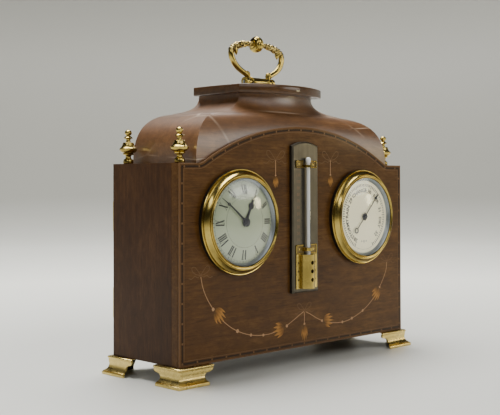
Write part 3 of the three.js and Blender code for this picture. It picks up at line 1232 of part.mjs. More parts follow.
// Thermometer, on the middle of the front board. z is measured from the case's underside.
function makeThermometer(group) {
  const high = CASE_HEIGHT + THERMO_RISE;
  const low = CASE_HEIGHT - THERMO_DROP;
  const half = THERMO_WIDTH / 2;
  const archRadius = (half ** 2 + THERMO_ARCH ** 2) / (2 * THERMO_ARCH);
  const plateOutline = (inset) => {
    const width = half - inset;
    const points = [[-width, low + inset], [width, low + inset]];
    for (let i = 0; i <= 8; i++) {
      const x = width * (1 - i / 4);
      const drop = archRadius - Math.sqrt(archRadius ** 2 - x ** 2);
      points.push([x, high + THERMO_ARCH - inset - drop]);
    }
    return points;
  };
  const face = -THERMO_THICKNESS;
  const rings = [
    { z: 0, points: plateOutline(0) },
    { z: THERMO_THICKNESS - THERMO_BEVEL, points: plateOutline(0) },
    { z: THERMO_THICKNESS, points: plateOutline(THERMO_BEVEL) },
  ];
  piece(group, "thermometer_plate", loft(rings).rotate([90, 0, 0]), silvered());

  const tubeY = face - TUBE_CLEARANCE - TUBE_RADIUS;
  const guardLow = low + GUARD_RISE;
  const guardHigh = guardLow + GUARD_HEIGHT;
  const bulbLow = guardLow + 4;
  const tubeTop = high - TUBE_TOP_DROP;
  const tube = [
    [0, bulbLow],
    [BULB_RADIUS * 0.75, bulbLow + 0.8],
    [BULB_RADIUS, bulbLow + 2.2],
    [BULB_RADIUS, bulbLow + BULB_HEIGHT - 2],
    [TUBE_RADIUS * 0.9, bulbLow + BULB_HEIGHT],
    [TUBE_RADIUS, bulbLow + BULB_HEIGHT + 1.5],
    [TUBE_RADIUS, tubeTop - 1.6 * TUBE_TOP_RADIUS],
    [TUBE_TOP_RADIUS, tubeTop - 1.1 * TUBE_TOP_RADIUS],
    [TUBE_TOP_RADIUS * 0.8, tubeTop - 0.4 * TUBE_TOP_RADIUS],
    [0, tubeTop],
  ];
  piece(group, "thermometer_tube", turnedZ(tube, 0, tubeY, 12), glass());

  // A strap in plan: flat ends on the plate, and a round hump over the tube.
  const strap = (width, innerRadius, centreY, steps) => {
    const outer = innerRadius + CLIP_THICKNESS;
    const humpAngles = Array.from({ length: steps + 1 }, (_, i) => (Math.PI * i) / steps);
    const hump = (radius) =>
      humpAngles
        .map((angle) => [radius * Math.cos(angle), centreY - radius * Math.sin(angle)])
        .filter(([, y]) => y <= face);
    const outside = [[outer, face - CLIP_THICKNESS], ...hump(outer).filter(([, y]) => y < face - CLIP_THICKNESS), [-outer, face - CLIP_THICKNESS]];
    const inside = [[-innerRadius, face], ...hump(innerRadius).filter(([, y]) => y < face).reverse(), [innerRadius, face]];
    return outline([
      [width / 2, face],
      [width / 2, face - CLIP_THICKNESS],
      ...outside,
      [-width / 2, face - CLIP_THICKNESS],
      [-width / 2, face],
      ...inside,
    ]);
  };
  const clip = strap(CLIP_WIDTH, TUBE_TOP_RADIUS + CLIP_FIT, tubeY, 8);
  const upperLow = high - UPPER_CLIP_DROP - CLIP_HEIGHT;
  piece(group, "thermometer_upper_clip", slabZ(clip, upperLow, upperLow + CLIP_HEIGHT), polishedBrass());
  const lowerLow = guardHigh + CLIP_FIT;
  piece(group, "thermometer_lower_clip", slabZ(clip, lowerLow, lowerLow + LOWER_CLIP_HEIGHT), polishedBrass());

  // The bulb guard: a half pipe with a tall slot and round piercings.
  const guard = slabZ(strap(CLIP_WIDTH, GUARD_RADIUS - CLIP_THICKNESS, face, 12), guardLow, guardHigh);
  const slotLow = guardLow + GUARD_HEIGHT * 0.3;
  const slot = block(-GUARD_SLOT_WIDTH / 2, GUARD_SLOT_WIDTH / 2, face - GUARD_RADIUS - 1, face - 2, slotLow, guardHigh - 4);
  const flangeX = (CLIP_WIDTH / 2 + GUARD_RADIUS) / 2;
  const piercings = [0.25, 0.5, 0.75].flatMap((share) =>
    [-1, 1].map((side) => {
      const z = guardLow + share * GUARD_HEIGHT;
      return rodY(GUARD_HOLE_RADIUS, face - 2 * CLIP_THICKNESS, face + 1, side * flangeX, z, 8);
    }),
  );
  piece(group, "thermometer_bulb_guard", cut(guard, slot, ...piercings), polishedBrass());
}

// Assembly. The case stands on its feet, with the whole thing centred over the origin.
const compendium = new THREE.Group();
makeCase(compendium);
makeDoor(compendium);
makeHandle(compendium, makeCaddy(compendium));
makeFinials(compendium);
makeFeet(compendium);
makeThermometer(compendium);

const clock = new THREE.Group();
clock.position.set(-instrumentX, 0, instrumentZ);
makeClock(clock);
compendium.add(clock);

const barometer = new THREE.Group();
barometer.position.set(instrumentX, 0, instrumentZ);
makeBarometer(barometer);
compendium.add(barometer);

const frontmost = -glassEdgeFront - GLASS_DOME;
const backmost = CASE_DEPTH + KNOB_LENGTH;
compendium.position.set(0, -(frontmost + backmost) / 2, FOOT_HEIGHT);

export default compendium;
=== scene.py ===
# %% [markdown]
# # A desk compendium
# The object is a small mahogany case with a clock on its left, a barometer on its right and a
# thermometer between them. Its solids and joints come from a model made beforehand, which is
# loaded here as a fixed frame. This lesson dresses that frame: each piece gets its fine form,
# its ornament and its finish. Every length is first written in millimetres, measured from the
# front face and the underside of the case, because that is how a case maker would mark it out.

# %% Load the frame
import math

import bmesh
import bpy
from mathutils import Matrix, Vector
from mathutils.geometry import tessellate_polygon


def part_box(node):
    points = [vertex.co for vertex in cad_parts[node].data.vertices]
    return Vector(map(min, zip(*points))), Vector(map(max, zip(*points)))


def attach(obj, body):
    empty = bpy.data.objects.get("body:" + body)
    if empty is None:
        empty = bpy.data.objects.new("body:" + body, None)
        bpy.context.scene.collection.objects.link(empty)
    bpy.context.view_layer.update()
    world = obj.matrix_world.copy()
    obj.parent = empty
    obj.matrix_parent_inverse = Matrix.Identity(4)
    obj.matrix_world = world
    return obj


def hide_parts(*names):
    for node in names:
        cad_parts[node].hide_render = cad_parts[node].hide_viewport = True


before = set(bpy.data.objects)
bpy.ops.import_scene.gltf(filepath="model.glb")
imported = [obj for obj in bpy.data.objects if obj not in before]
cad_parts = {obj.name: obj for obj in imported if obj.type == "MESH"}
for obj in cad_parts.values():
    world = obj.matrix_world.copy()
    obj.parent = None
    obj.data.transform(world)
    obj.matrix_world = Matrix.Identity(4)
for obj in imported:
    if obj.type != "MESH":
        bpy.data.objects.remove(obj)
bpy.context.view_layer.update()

scene = bpy.context.scene

# %% [markdown]
# ## The camera
# The photograph was taken from the front left, a little above the middle of the case. A camera
# could be turned by eye until it looks right. Here its place, turn and lens were fitted until
# points of the model fell where the photograph shows them, so the camera's frame is built from
# three directions: ahead, across and up. The horizon lies above the middle of the picture, which
# is what a shift gives without tilting the upright edges.

# %% Camera
PICTURE_WIDTH = 500
PICTURE_HEIGHT = 415
FOCAL_PIXELS = 986.3
HORIZON_ROW = 165.2
CAMERA_PLACE = Vector((-0.5422, -0.5288, 0.1369))
CAMERA_YAW, CAMERA_PITCH, CAMERA_ROLL = map(math.radians, (44.625, 0.839, -0.158))


def camera_axes(yaw, pitch, roll):
    """The camera's across, up and backward directions."""
    flat = Vector((math.sin(yaw), math.cos(yaw), 0))
    ahead = flat * math.cos(pitch) + Vector((0, 0, math.sin(pitch)))
    level = Vector((math.cos(yaw), -math.sin(yaw), 0))
    upright = level.cross(ahead)
    across = level * math.cos(roll) + upright * math.sin(roll)
    up = upright * math.cos(roll) - level * math.sin(roll)
    return across, up, -ahead


camera_data = bpy.data.cameras.new("camera")
camera_data.sensor_width = 36
camera_data.lens = camera_data.sensor_width * FOCAL_PIXELS / PICTURE_WIDTH
camera_data.shift_y = (HORIZON_ROW - PICTURE_HEIGHT / 2) / PICTURE_WIDTH
camera = bpy.data.objects.new("camera", camera_data)
turn = Matrix(camera_axes(CAMERA_YAW, CAMERA_PITCH, CAMERA_ROLL)).transposed().to_4x4()
camera.matrix_world = Matrix.Translation(CAMERA_PLACE) @ turn
scene.collection.objects.link(camera)
scene.camera = camera
print("Lens", round(camera_data.lens, 2), "mm, shift", round(camera_data.shift_y, 4))

# %% [markdown]
# ## Arithmetic on sockets
# A material is a tree of nodes. Wiring each sum by hand makes long scripts, so a small class
# wraps a socket, and Python's own + - * / then add the Math nodes. Colours and vectors never
# pass through it, because a Math node would turn a colour grey.

# %% A value that can be reckoned with
class Value:
    """A node's output. Arithmetic on it adds a Math node to the same tree."""

    def __init__(self, socket):
        self.socket = socket

    def reckon(self, operation, *terms):
        tree = self.socket.id_data
        node = tree.nodes.new("ShaderNodeMath")
        node.operation = operation
        for socket, term in zip(node.inputs, terms):
            plug(tree, socket, term)
        return Value(node.outputs[0])

    def __add__(self, other):
        return self.reckon("ADD", self, other)

    def __sub__(self, other):
        return self.reckon("SUBTRACT", self, other)

    def __rsub__(self, other):
        return self.reckon("SUBTRACT", other, self)

    def __mul__(self, other):
        return self.reckon("MULTIPLY", self, other)

    __radd__ = __add__
    __rmul__ = __mul__


def plug(tree, socket, value):
    """Links a value to a socket, or sets the socket to a plain number, colour or object."""
    if isinstance(value, Value):
        tree.links.new(value.socket, socket)
    elif isinstance(value, tuple) and len(value) == 3 and socket.type == "RGBA":
        socket.default_value = (*value, 1)
    else:
        socket.default_value = value


# %% A tree of nodes
class Tree:
    """A node tree with one method that adds any node."""

    def __init__(self, tree):
        self.tree = tree

    def node(self, kind, settings=None, inputs=None, output=0):
        """Adds a node: its settings come first, then its sockets. Returns one output."""
        node = self.tree.nodes.new(kind)
        for name, value in (settings or {}).items():
            if name == "stops":
                self.set_stops(node.color_ramp, value)
            else:
                setattr(node, name, value)
        for name, value in (inputs or {}).items():
            plug(self.tree, node.inputs[name], value)
        return Value(node.outputs[output])

    def set_stops(self, ramp, stops):
        """Gives a colour ramp its stops, each a place and a grey or a colour."""
        while len(ramp.elements) < len(stops):
            ramp.elements.new(1)
        for element, (place, colour) in zip(ramp.elements, stops):
            grey = not isinstance(colour, tuple)
            element.position = place
            element.color = (colour, colour, colour, 1) if grey else (*colour, 1)


# %% A finish
class Finish(Tree):
    """A material with one Principled shader, whose constants are given by name."""

    def __init__(self, name, **constants):
        self.material = bpy.data.materials.new(name)
        self.material.use_nodes = True
        super().__init__(self.material.node_tree)
        self.shader = self.tree.nodes["Principled BSDF"]
        for name, value in constants.items():
            self.feed(name.replace("_", " "), value)
        self.place = self.node("ShaderNodeTexCoord", output="Object")

    def feed(self, name, value):
        plug(self.tree, self.shader.inputs[name], value)

    def noise(self, scale, detail=2, roughness=0.5, distortion=0, stretch=(1, 1, 1)):
        """Soft random variation, from 0 to 1, stretched by a factor along each axis."""
        placed = self.node("ShaderNodeMapping", inputs={"Vector": self.place, "Scale": stretch})
        return self.node("ShaderNodeTexNoise", inputs={
            "Vector": placed, "Scale": scale, "Detail": detail, "Roughness": roughness,
            "Distortion": distortion})

    def ramp(self, value, *stops):
        return self.node("ShaderNodeValToRGB", {"stops": stops}, {"Fac": value})

    def blend(self, share, first, second):
        """Mixes two colours."""
        node = self.tree.nodes.new("ShaderNodeMix")
        node.data_type = "RGBA"
        for index, value in ((0, share), (6, first), (7, second)):
            plug(self.tree, node.inputs[index], value)
        return Value(node.outputs[2])

    def bump(self, height, strength, distance):
        """Turns a height from 0 to 1 into small dents and ridges, distance deep in metres."""
        raised = self.node("ShaderNodeBump", inputs={
            "Height": height, "Strength": strength, "Distance": distance})
        self.feed("Normal", raised)


# %% [markdown]
# ## Floor and light
# A pale paper rises behind the case. A flat plane and a separate wall would show a line between
# them, so the floor is a wide shallow bowl, round from above. Its tone isn't the same all over: it
# has a painted shadow under the case, painted shade where the bowl starts to rise, and painted dark
# at the rim and on the rising wall in front of the case. That painted dark stands in for the unlit
# room, so brass and polish mirror it as a painted dark reflection, and it shows in views from
# behind. A broad lamp hangs in front, a strong one overhead for the sheen on the caddy, a low wide
# one on the right like a window, a small warm one beside it, and a weak one on the left.

# %% Floor
def linear(red, green, blue):
    """A colour picked as it looks on a screen, 0 to 255, as the plain light it stands for."""
    return tuple(((c / 255 + 0.055) / 1.055) ** 2.4 for c in (red, green, blue))


paper = Finish("pale_paper", Roughness=0.42, Specular_IOR_Level=0.6)
paper_tint = paper.noise(3, detail=3)
from_middle = paper.node("ShaderNodeVectorMath", {"operation": "LENGTH"}, {0: paper.place}, output="Value")
paper_height = paper.node("ShaderNodeSeparateXYZ", inputs={"Vector": paper.place}, output="Z")
TOWARDS_BACK = (0.11, 0.29, 0)
paper_side = paper.node("ShaderNodeVectorMath", {"operation": "DOT_PRODUCT"},
                        {0: paper.place, 1: TOWARDS_BACK}, output="Value")
# Painted dark on the rim and on the wall in front of the case, standing in for the unlit room.
painted_room_shade = paper.ramp(paper_height * 1.2 - paper_side * 1.25, (0.44, 0.0), (0.80, 1.0))
# Painted shadow under the case and painted shade where the bowl starts to rise, on the pale paper.
paper_tone_and_painted_shade = paper.ramp(from_middle * 0.4 + paper_tint * 0.02,
                  (0.09, (0.56, 0.565, 0.53)), (0.26, (0.88, 0.885, 0.82)), (0.46, (0.80, 0.805, 0.75)),
                  (0.6, (0.44, 0.44, 0.4)), (0.79, (0.6, 0.595, 0.54)), (0.83, (0.06, 0.06, 0.06)))
lit_paper = paper.blend(painted_room_shade, paper_tone_and_painted_shade, (0.03, 0.03, 0.03))
paper.feed("Base Color", lit_paper)
BOWL_PROFILE = [(0.0, 0.0), (1.15, 0.0), (1.4, 0.05), (1.6, 0.17), (1.74, 0.36), (1.82, 0.6), (1.9, 1.4)]
BOWL_STEPS = 96


def bowl(profile, steps):
    """A turned sheet that faces its own axis."""
    mesh = bpy.data.meshes.new("floor")
    points = [(0, 0, 0)]
    for radius, height in profile[1:]:
        for step in range(steps):
            angle = 2 * math.pi * step / steps
            points.append((radius * math.cos(angle), radius * math.sin(angle), height))
    faces = [(0, 1 + step, 1 + (step + 1) % steps) for step in range(steps)]
    for ring in range(len(profile) - 2):
        low = 1 + ring * steps
        for step in range(steps):
            after = (step + 1) % steps
            faces.append((low + step, low + steps + step, low + steps + after, low + after))
    mesh.from_pydata(points, [], faces)
    mesh.shade_smooth()
    mesh.materials.append(paper.material)
    return mesh


floor = bpy.data.objects.new("floor", bowl(BOWL_PROFILE, BOWL_STEPS))
smoothing = floor.modifiers.new("smooth", "SUBSURF")
smoothing.levels = smoothing.render_levels = 2
scene.collection.objects.link(floor)
print("The floor is", 2 * BOWL_PROFILE[-1][0], "m across")


# %% Lights
def soft_box(name, place, aim, width, height, power, colour=(1, 1, 1), spread=140):
    """A round or oval soft lamp that looks at a point."""
    lamp = bpy.data.lights.new(name, "AREA")
    lamp.shape = "ELLIPSE"
    lamp.size = width
    lamp.size_y = height
    lamp.energy = power
    lamp.color = colour
    lamp.spread = math.radians(spread)
    box = bpy.data.objects.new(name, lamp)
    look = (Vector(aim) - Vector(place)).to_track_quat("-Z", "Y")
    box.matrix_world = Matrix.Translation(place) @ look.to_matrix().to_4x4()
    box.visible_camera = False
    scene.collection.objects.link(box)


CASE_MIDDLE = (0, 0, 0.1)
soft_box("warm_lamp", (1.14, -0.9, 0.28), CASE_MIDDLE, 0.15, 0.15, 0.55, (1, 0.86, 0.5))
soft_box("window_light", (0.95, -1.05, 0.5), CASE_MIDDLE, 0.75, 0.3, 1.5, (1, 0.98, 0.93))
soft_box("front_light", (-0.05, -1.35, 1.1), CASE_MIDDLE, 1.7, 1.1, 6.8, (1, 0.98, 0.95))
soft_box("top_light", (0.1, 0.4, 1.5), (0.12, 0.22, 0), 1.5, 1.0, 35, (1, 0.99, 0.97), 130)
soft_box("fill_light", (-1.2, -0.6, 1.1), CASE_MIDDLE, 0.8, 0.6, 2.6, (0.98, 0.99, 1))
world = bpy.data.worlds.new("dim_room")
world.use_nodes = True
world.node_tree.nodes["Background"].inputs["Color"].default_value = (0.06, 0.061, 0.062, 1)
scene.world = world
print("Lights:", [lamp.name for lamp in bpy.data.lights])

# %% [markdown]
# ## Mahogany
# Mahogany is red-brown with soft streaks along the grain, short dark pores, and here a French
# polish that lies over it like a thin clear coat. One stretched noise gives the slow change of
# colour, a finer one the streaks, one between them the mottle, and one that is cut off sharply
# the pores, which also dent the surface a little. The polish is the shader's own coat, so the
# wood below it can stay duller. On the caddy top it is thicker and hazier, with thin pale lines in
# some patches. The sides get darker tones than the front as painted shade, and the caddy lighter
# tones as a painted sheen.

# %% Pale lines
def scuffs(finish, strength):
    """Thin lines along the edges of long cells, kept only in some patches."""
    turned_place = finish.node("ShaderNodeMapping", inputs={
        "Vector": finish.place, "Rotation": (0.3, 0.5, 0.2), "Scale": (9, 9, 26)})
    edge = finish.node("ShaderNodeTexVoronoi", {"feature": "DISTANCE_TO_EDGE"},
                       {"Vector": turned_place, "Scale": 1.0}, output="Distance")
    patches = finish.ramp(finish.noise(22, detail=2), (0.45, 0.0), (0.58, 1.0))
    return finish.ramp(edge, (0.004, strength), (0.016, 0.0)) * patches


# %% Mahogany
def mahogany(name, along, tones, seed, streaks=420, polish=0.35, haze=0.1, gloss=1.5, pale_line_strength=0.0):
    """Polished mahogany whose grain runs along axis 0, 1 or 2; tones go from dark to light."""
    finish = Finish(name, Coat_Weight=polish, Coat_Roughness=haze, Coat_IOR=gloss, Specular_IOR_Level=0.12)

    def drawn_out(share):
        """The scale that draws a noise out along the grain."""
        return tuple(share if axis == along else 1 for axis in range(3))

    finish.place = finish.node("ShaderNodeMapping", inputs={"Vector": finish.place, "Location": seed})
    figure = finish.noise(26, detail=3, distortion=0.8, stretch=drawn_out(0.35))
    streak = finish.noise(streaks, detail=5, roughness=0.68, distortion=0.3, stretch=drawn_out(0.05))
    pores = finish.noise(2300, detail=1, stretch=drawn_out(0.035))
    pore_mask = finish.ramp(pores, (0.60, 0.0), (0.68, 1.0))
    mottle = finish.noise(240, detail=5, roughness=0.7, distortion=0.5, stretch=drawn_out(0.4))
    tone = figure * 0.3 + streak * 0.3 + mottle * 0.4
    dark, middle, light = tones
    colour = finish.ramp(tone, (0.36, dark), (0.5, middle), (0.63, light))
    wood = finish.blend(pore_mask * 0.45, colour, tuple(part * 0.3 for part in dark))
    # Thin pale lines in some patches over the wood.
    if pale_line_strength:
        wood = finish.blend(scuffs(finish, pale_line_strength), wood, (0.42, 0.31, 0.22))
    finish.feed("Base Color", wood)
    finish.feed("Roughness", 0.34 + 0.16 * streak + 0.1 * pore_mask)
    finish.bump(streak * 0.4 - pore_mask * 0.6, 0.25, 0.0001)
    return finish.material


front_wood = mahogany("front_mahogany", 0, ((0.042, 0.0165, 0.0033), (0.074, 0.0305, 0.006),
    (0.121, 0.055, 0.013)), (0.3, 0.1, 0.7), 700, 0.08)
# The sides' tones are darker than the front's: painted shade for faces turned from the light.
side_wood_painted_darker = mahogany("side_mahogany", 2, ((0.025, 0.0086, 0.0022), (0.043, 0.0162, 0.0044),
    (0.071, 0.0295, 0.009)), (1.1, 0.4, 0.2), polish=0.08)
# The caddy's tones are lighter than the front's: a painted sheen from the overhead light.
caddy_wood_painted_lighter = mahogany("caddy_mahogany", 0, ((0.078, 0.033, 0.011), (0.13, 0.058, 0.02),
    (0.205, 0.098, 0.036)), (2.3, 0.8, 0.5), polish=0.9, haze=0.33, gloss=1.8, pale_line_strength=0.7)
cap_wood = mahogany("cap_mahogany", 0, ((0.034, 0.014, 0.004), (0.060, 0.026, 0.008),
    (0.095, 0.044, 0.014)), (0.9, 1.7, 0.3), polish=0.55, haze=0.13)


# %% Brass
def brass(name, clean, tarnish_and_shade, roughness, grain=0.0, stretch=(1, 1, 1), patch=60, share=0.6):
    """Brass with slow patches of darker colour, tarnish on most pieces and painted shade on the chased arms
    and in the clip hollows, and a fine grain left by the finishing.
    """
    finish = Finish(name, Metallic=1.0)
    patches = finish.noise(patch, detail=5, roughness=0.65)
    patch_mask = finish.ramp(patches, (0.42, 0.0), (0.64, 1.0))
    lines = finish.noise(1500, detail=3, stretch=stretch)
    finish.feed("Base Color", finish.blend(patch_mask * share, clean, tarnish_and_shade))
    finish.feed("Roughness", roughness * (0.7 + 0.6 * patch_mask + 0.5 * lines))
    finish.bump(lines * 0.7 + patches * 0.3, 0.08 + grain, 0.00006)
    return finish.material


polished_brass = brass("polished_brass", (0.46, 0.34, 0.09), (0.20, 0.145, 0.038), 0.16)
satin_brass = brass("satin_brass", (0.72, 0.55, 0.185), (0.54, 0.41, 0.13), 0.24, 0.12)


# %% A gently varied finish
def varied(name, first, second, roughness, spread, scale, detail=2, stretch=(1, 1, 1), **constants):
    """Ink, enamel, glass, dark metal or painted near-black shade that wanders between two colours, and in
    gloss with them.
    """
    finish = Finish(name, **constants)
    cloud = finish.noise(scale, detail=detail, stretch=stretch)
    finish.feed("Base Color", finish.blend(cloud, first, second))
    finish.feed("Roughness", roughness + spread * cloud)
    return finish.material


# %% [markdown]
# ## From points to a piece
# Each piece is a closed mesh. One function takes its points in the case's own millimetres, sets
# them in their real place, turns every face outwards, smooths the curved parts while keeping
# the arrises crisp, and tells the frame which body the piece rides on.

# %% Piece maker
MM = 0.001
FRONT_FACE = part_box("front_board")[0]
CASE_ORIGIN = Vector((0, FRONT_FACE.y, FRONT_FACE.z))


def case_points(points):
    """Points in the case's millimetres, in metres in the frame."""
    return [CASE_ORIGIN + Vector(point) * MM for point in points]


def make_piece(name, points, faces, finish, body, slot=None, stands_for=(), crease=32, bevel=0):
    """A closed piece that rides on a body and may stand for nodes of the frame."""
    mesh = bpy.data.meshes.new(name)
    mesh.from_pydata(case_points(points), [], faces)
    shell = bmesh.new()
    shell.from_mesh(mesh)
    bmesh.ops.remove_doubles(shell, verts=shell.verts, dist=1e-7)
    bmesh.ops.recalc_face_normals(shell, faces=shell.faces)
    shell.to_mesh(mesh)
    shell.free()
    return set_piece(name, mesh, finish, body, stands_for, crease, bevel)


def set_piece(name, mesh, finish, body, stands_for=(), crease=32, bevel=0):
    """Gives a finished mesh its finish, its body and the nodes it stands for."""
    mesh.name = name
    mesh.materials.clear()
    mesh.materials.append(finish)
    mesh.shade_smooth()
    mesh.set_sharp_from_angle(angle=math.radians(crease))
    made = bpy.data.objects.new(name, mesh)
    scene.collection.objects.link(made)
    if bevel:
        softened = made.modifiers.new("arris", "BEVEL")
        softened.width = bevel * MM
        softened.segments = 2
        softened.limit_method = "ANGLE"
        softened.angle_limit = math.radians(40)
        softened.harden_normals = True
    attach(made, body)
    if stands_for:
        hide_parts(*stands_for)
    return made


# %% Lofted and turned forms
def loft(rings):
    """Joins rings that have the same number of points, and closes both ends."""
    count = len(rings[0])
    points = [point for ring in rings for point in ring]
    faces = []
    for start in range(0, count * (len(rings) - 1), count):
        for step in range(count):
            after = (step + 1) % count
            faces.append((start + step, start + after, start + count + after, start + count + step))
    last = count * (len(rings) - 1)
    for offset, ring in ((0, rings[0]), (last, rings[-1])):
        for corners in tessellate_polygon([[Vector(point) for point in ring]]):
            faces.append([offset + corner for corner in corners])
    return points, faces


def turned(profile, centre, axis="Y", steps=96):
    """A closed form turned on a lathe. The profile gives radius and distance along the axis."""
    points, faces, rings = [], [], []
    for radius, along in profile:
        pole = radius < 1e-6
        ring = []
        for step in range(1 if pole else steps):
            angle = 2 * math.pi * step / steps
            a, b = radius * math.cos(angle), radius * math.sin(angle)
            spot = {"X": (along, a, b), "Y": (a, along, b), "Z": (a, b, along)}[axis]
            ring.append(len(points))
            points.append(tuple(c + s for c, s in zip(centre, spot)))
        rings.append(ring)
    for near, far in zip(rings, rings[1:]):
        for step in range(steps):
            after = (step + 1) % steps
            corners = [near[step % len(near)], near[after % len(near)], far[after % len(far)],
                far[step % len(far)]]
            corners = list(dict.fromkeys(corners))
            if len(corners) > 2:
                faces.append(corners)
    return points, faces


def merged(*shapes):
    """Several sets of points and faces as one."""
    points, faces = [], []
    for more_points, more_faces in shapes:
        start = len(points)
        points += more_points
        faces += [[start + corner for corner in face] for face in more_faces]
    return points, faces


# %% Curves to draw with
def bezier(corners, steps):
    """Points on a cubic curve from its four control points."""
    made = []
    for step in range(steps + 1):
        t = step / steps
        shares = ((1 - t) ** 3, 3 * t * (1 - t) ** 2, 3 * t * t * (1 - t), t ** 3)
        made.append(tuple(sum(s * c[i] for s, c in zip(shares, corners)) for i in range(2)))
    return made


def through(knots, steps):
    """A smooth curve through the given points, in any number of dimensions."""
    size = len(knots[0])
    ends = [tuple(2 * a - b for a, b in zip(knots[0], knots[1]))]
    tail = [tuple(2 * a - b for a, b in zip(knots[-1], knots[-2]))]
    line = ends + list(knots) + tail
    made = []
    for a, b, c, d in zip(line, line[1:], line[2:], line[3:]):
        for step in range(steps):
            t = step / steps
            made.append(tuple(
                0.5 * (2 * b[i] + (c[i] - a[i]) * t + (2 * a[i] - 5 * b[i] + 4 * c[i] - d[i]) * t * t
                       + (3 * b[i] - a[i] - 3 * c[i] + d[i]) * t ** 3)
                for i in range(size)))
    made.append(tuple(knots[-1]))
    return made


# %% [markdown]
# ## The case
# The front is one board, 8 mm thick up to the top of the case and thinned to a lip where it
# rises in a low arch in front of the caddy top. Its outline is drawn once and used again for
# the string inlay that follows its edge. The board is made as an outline with two round holes,
# filled by Blender's own tessellation, then given thickness.

# %% Board with holes
def slab(outline, holes, near, far, chamfer=0.0, axis="Y"):
    """A flat board cut to an outline, with holes, between two distances along an axis."""
    loops = [outline, *holes]
    flat = [corner for loop in loops for corner in loop]
    levels = [(near, chamfer), (near + chamfer, 0), (far - chamfer, 0), (far, chamfer)]
    if not chamfer:
        levels = [(near, 0), (far, 0)]
    place = {"X": lambda a, b, t: (t, a, b), "Y": lambda a, b, t: (a, t, b), "Z": lambda a, b,
        t: (a, b, t)}[axis]
    points, faces = [], []
    for along, inset in levels:
        for loop in loops:
            drawn = inset_loop(loop, inset) if inset else loop
            points += [place(a, b, along) for a, b in drawn]
    count = len(flat)
    start = 0
    for loop in loops:
        size = len(loop)
        for level in range(len(levels) - 1):
            for step in range(size):
                after = (step + 1) % size
                a, b = start + step + level * count, start + after + level * count
                faces.append((a, b, b + count, a + count))
        start += size
    last = (len(levels) - 1) * count
    for corners in tessellate_polygon([[Vector((a, b, 0)) for a, b in loop] for loop in loops]):
        faces.append(corners)
        faces.append([last + corner for corner in corners])
    return points, faces


def inset_loop(loop, distance):
    """A closed outline drawn again further in. Outlines run anticlockwise and holes clockwise."""
    made = []
    for before, here, after in zip(loop[-1:] + loop[:-1], loop, loop[1:] + loop[:1]):
        into = (Vector(here) - Vector(before)).normalized()
        out_of = (Vector(after) - Vector(here)).normalized()
        normal = Vector((-into.y - out_of.y, into.x + out_of.x))
        normal = normal / max(normal.length_squared / 2, 0.25)
        made.append((here[0] + normal.x * distance, here[1] + normal.y * distance))
    return made


def circle(x, z, radius, steps, clockwise=False):
    """Points round a circle. The outline of a hole runs clockwise."""
    way = -1 if clockwise else 1
    angles = [way * 2 * math.pi * i / steps for i in range(steps)]
    return [(x + radius * math.cos(angle), z + radius * math.sin(angle)) for angle in angles]


def oblong(x0, x1, z0, z1):
    """The four corners of a rectangle, anticlockwise."""
    return [(x0, z0), (x1, z0), (x1, z1), (x0, z1)]


# %% Outline of the arched front
HALF_WIDTH = 120
CASE_HEIGHT = 135
CASE_DEPTH = 72
FRONT_THICKNESS = 8
LIP_THICKNESS = 2.2
ARCH_TOP = CASE_HEIGHT + 27.6
ARCH_RADIUS = 196
FILLET_RADIUS = 12
INSTRUMENT_X = 66.6
INSTRUMENT_Z = 94.4
DRUM_HOLE = 31.2
instrument_centres = {"clock": (-INSTRUMENT_X, 0, INSTRUMENT_Z),
    "barometer": (INSTRUMENT_X, 0, INSTRUMENT_Z)}


def arch_edge(fillet_steps=10, arch_steps=56):
    """The top edge of the front, from right to left: a fillet, the low arch and a fillet."""
    centre = ARCH_TOP - ARCH_RADIUS
    fillet_z = CASE_HEIGHT + FILLET_RADIUS
    fillet_x = math.sqrt((ARCH_RADIUS + FILLET_RADIUS) ** 2 - (fillet_z - centre) ** 2)
    meeting = math.atan2(fillet_x, fillet_z - centre)
    right = []
    for step in range(fillet_steps + 1):
        angle = meeting * step / fillet_steps
        right.append((fillet_x - FILLET_RADIUS * math.sin(angle), fillet_z - FILLET_RADIUS
            * math.cos(angle)))
    for step in range(1, arch_steps // 2):
        angle = meeting * (1 - 2 * step / arch_steps)
        right.append((ARCH_RADIUS * math.sin(angle), centre + ARCH_RADIUS * math.cos(angle)))
    left = [(-x, z) for x, z in reversed(right)]
    return right + [(0, ARCH_TOP)] + left


front_outline = [(-HALF_WIDTH, 0), (HALF_WIDTH, 0), (HALF_WIDTH, CASE_HEIGHT), *arch_edge(),
    (-HALF_WIDTH, CASE_HEIGHT)]
drum_holes = [circle(side * INSTRUMENT_X, INSTRUMENT_Z, DRUM_HOLE, 96, True) for side in (-1, 1)]
backing_outline = oblong(-HALF_WIDTH, HALF_WIDTH, 0, CASE_HEIGHT)
face_sheet = slab(front_outline, drum_holes, 0, LIP_THICKNESS, 0.25)
backing = slab(backing_outline, drum_holes, LIP_THICKNESS, FRONT_THICKNESS)
front_points, front_faces = merged(face_sheet, backing)
make_piece("front_board_dressed", front_points, front_faces, front_wood, "case", "front_mahogany",
    ["front_board"])
print("Front outline has", len(front_outline), "points")

# %% [markdown]
# The sides, the bottom and the deck are plain boards. Real boards never meet the light with a
# knife edge, so a Bevel modifier softens their arrises.

# %% Sides, bottom and deck
SIDE_THICKNESS = 7
BOARD_THICKNESS = 8


def board(x0, x1, y0, y1, z0, z1):
    return slab(oblong(x0, x1, y0, y1), [], z0, z1, axis="Z")


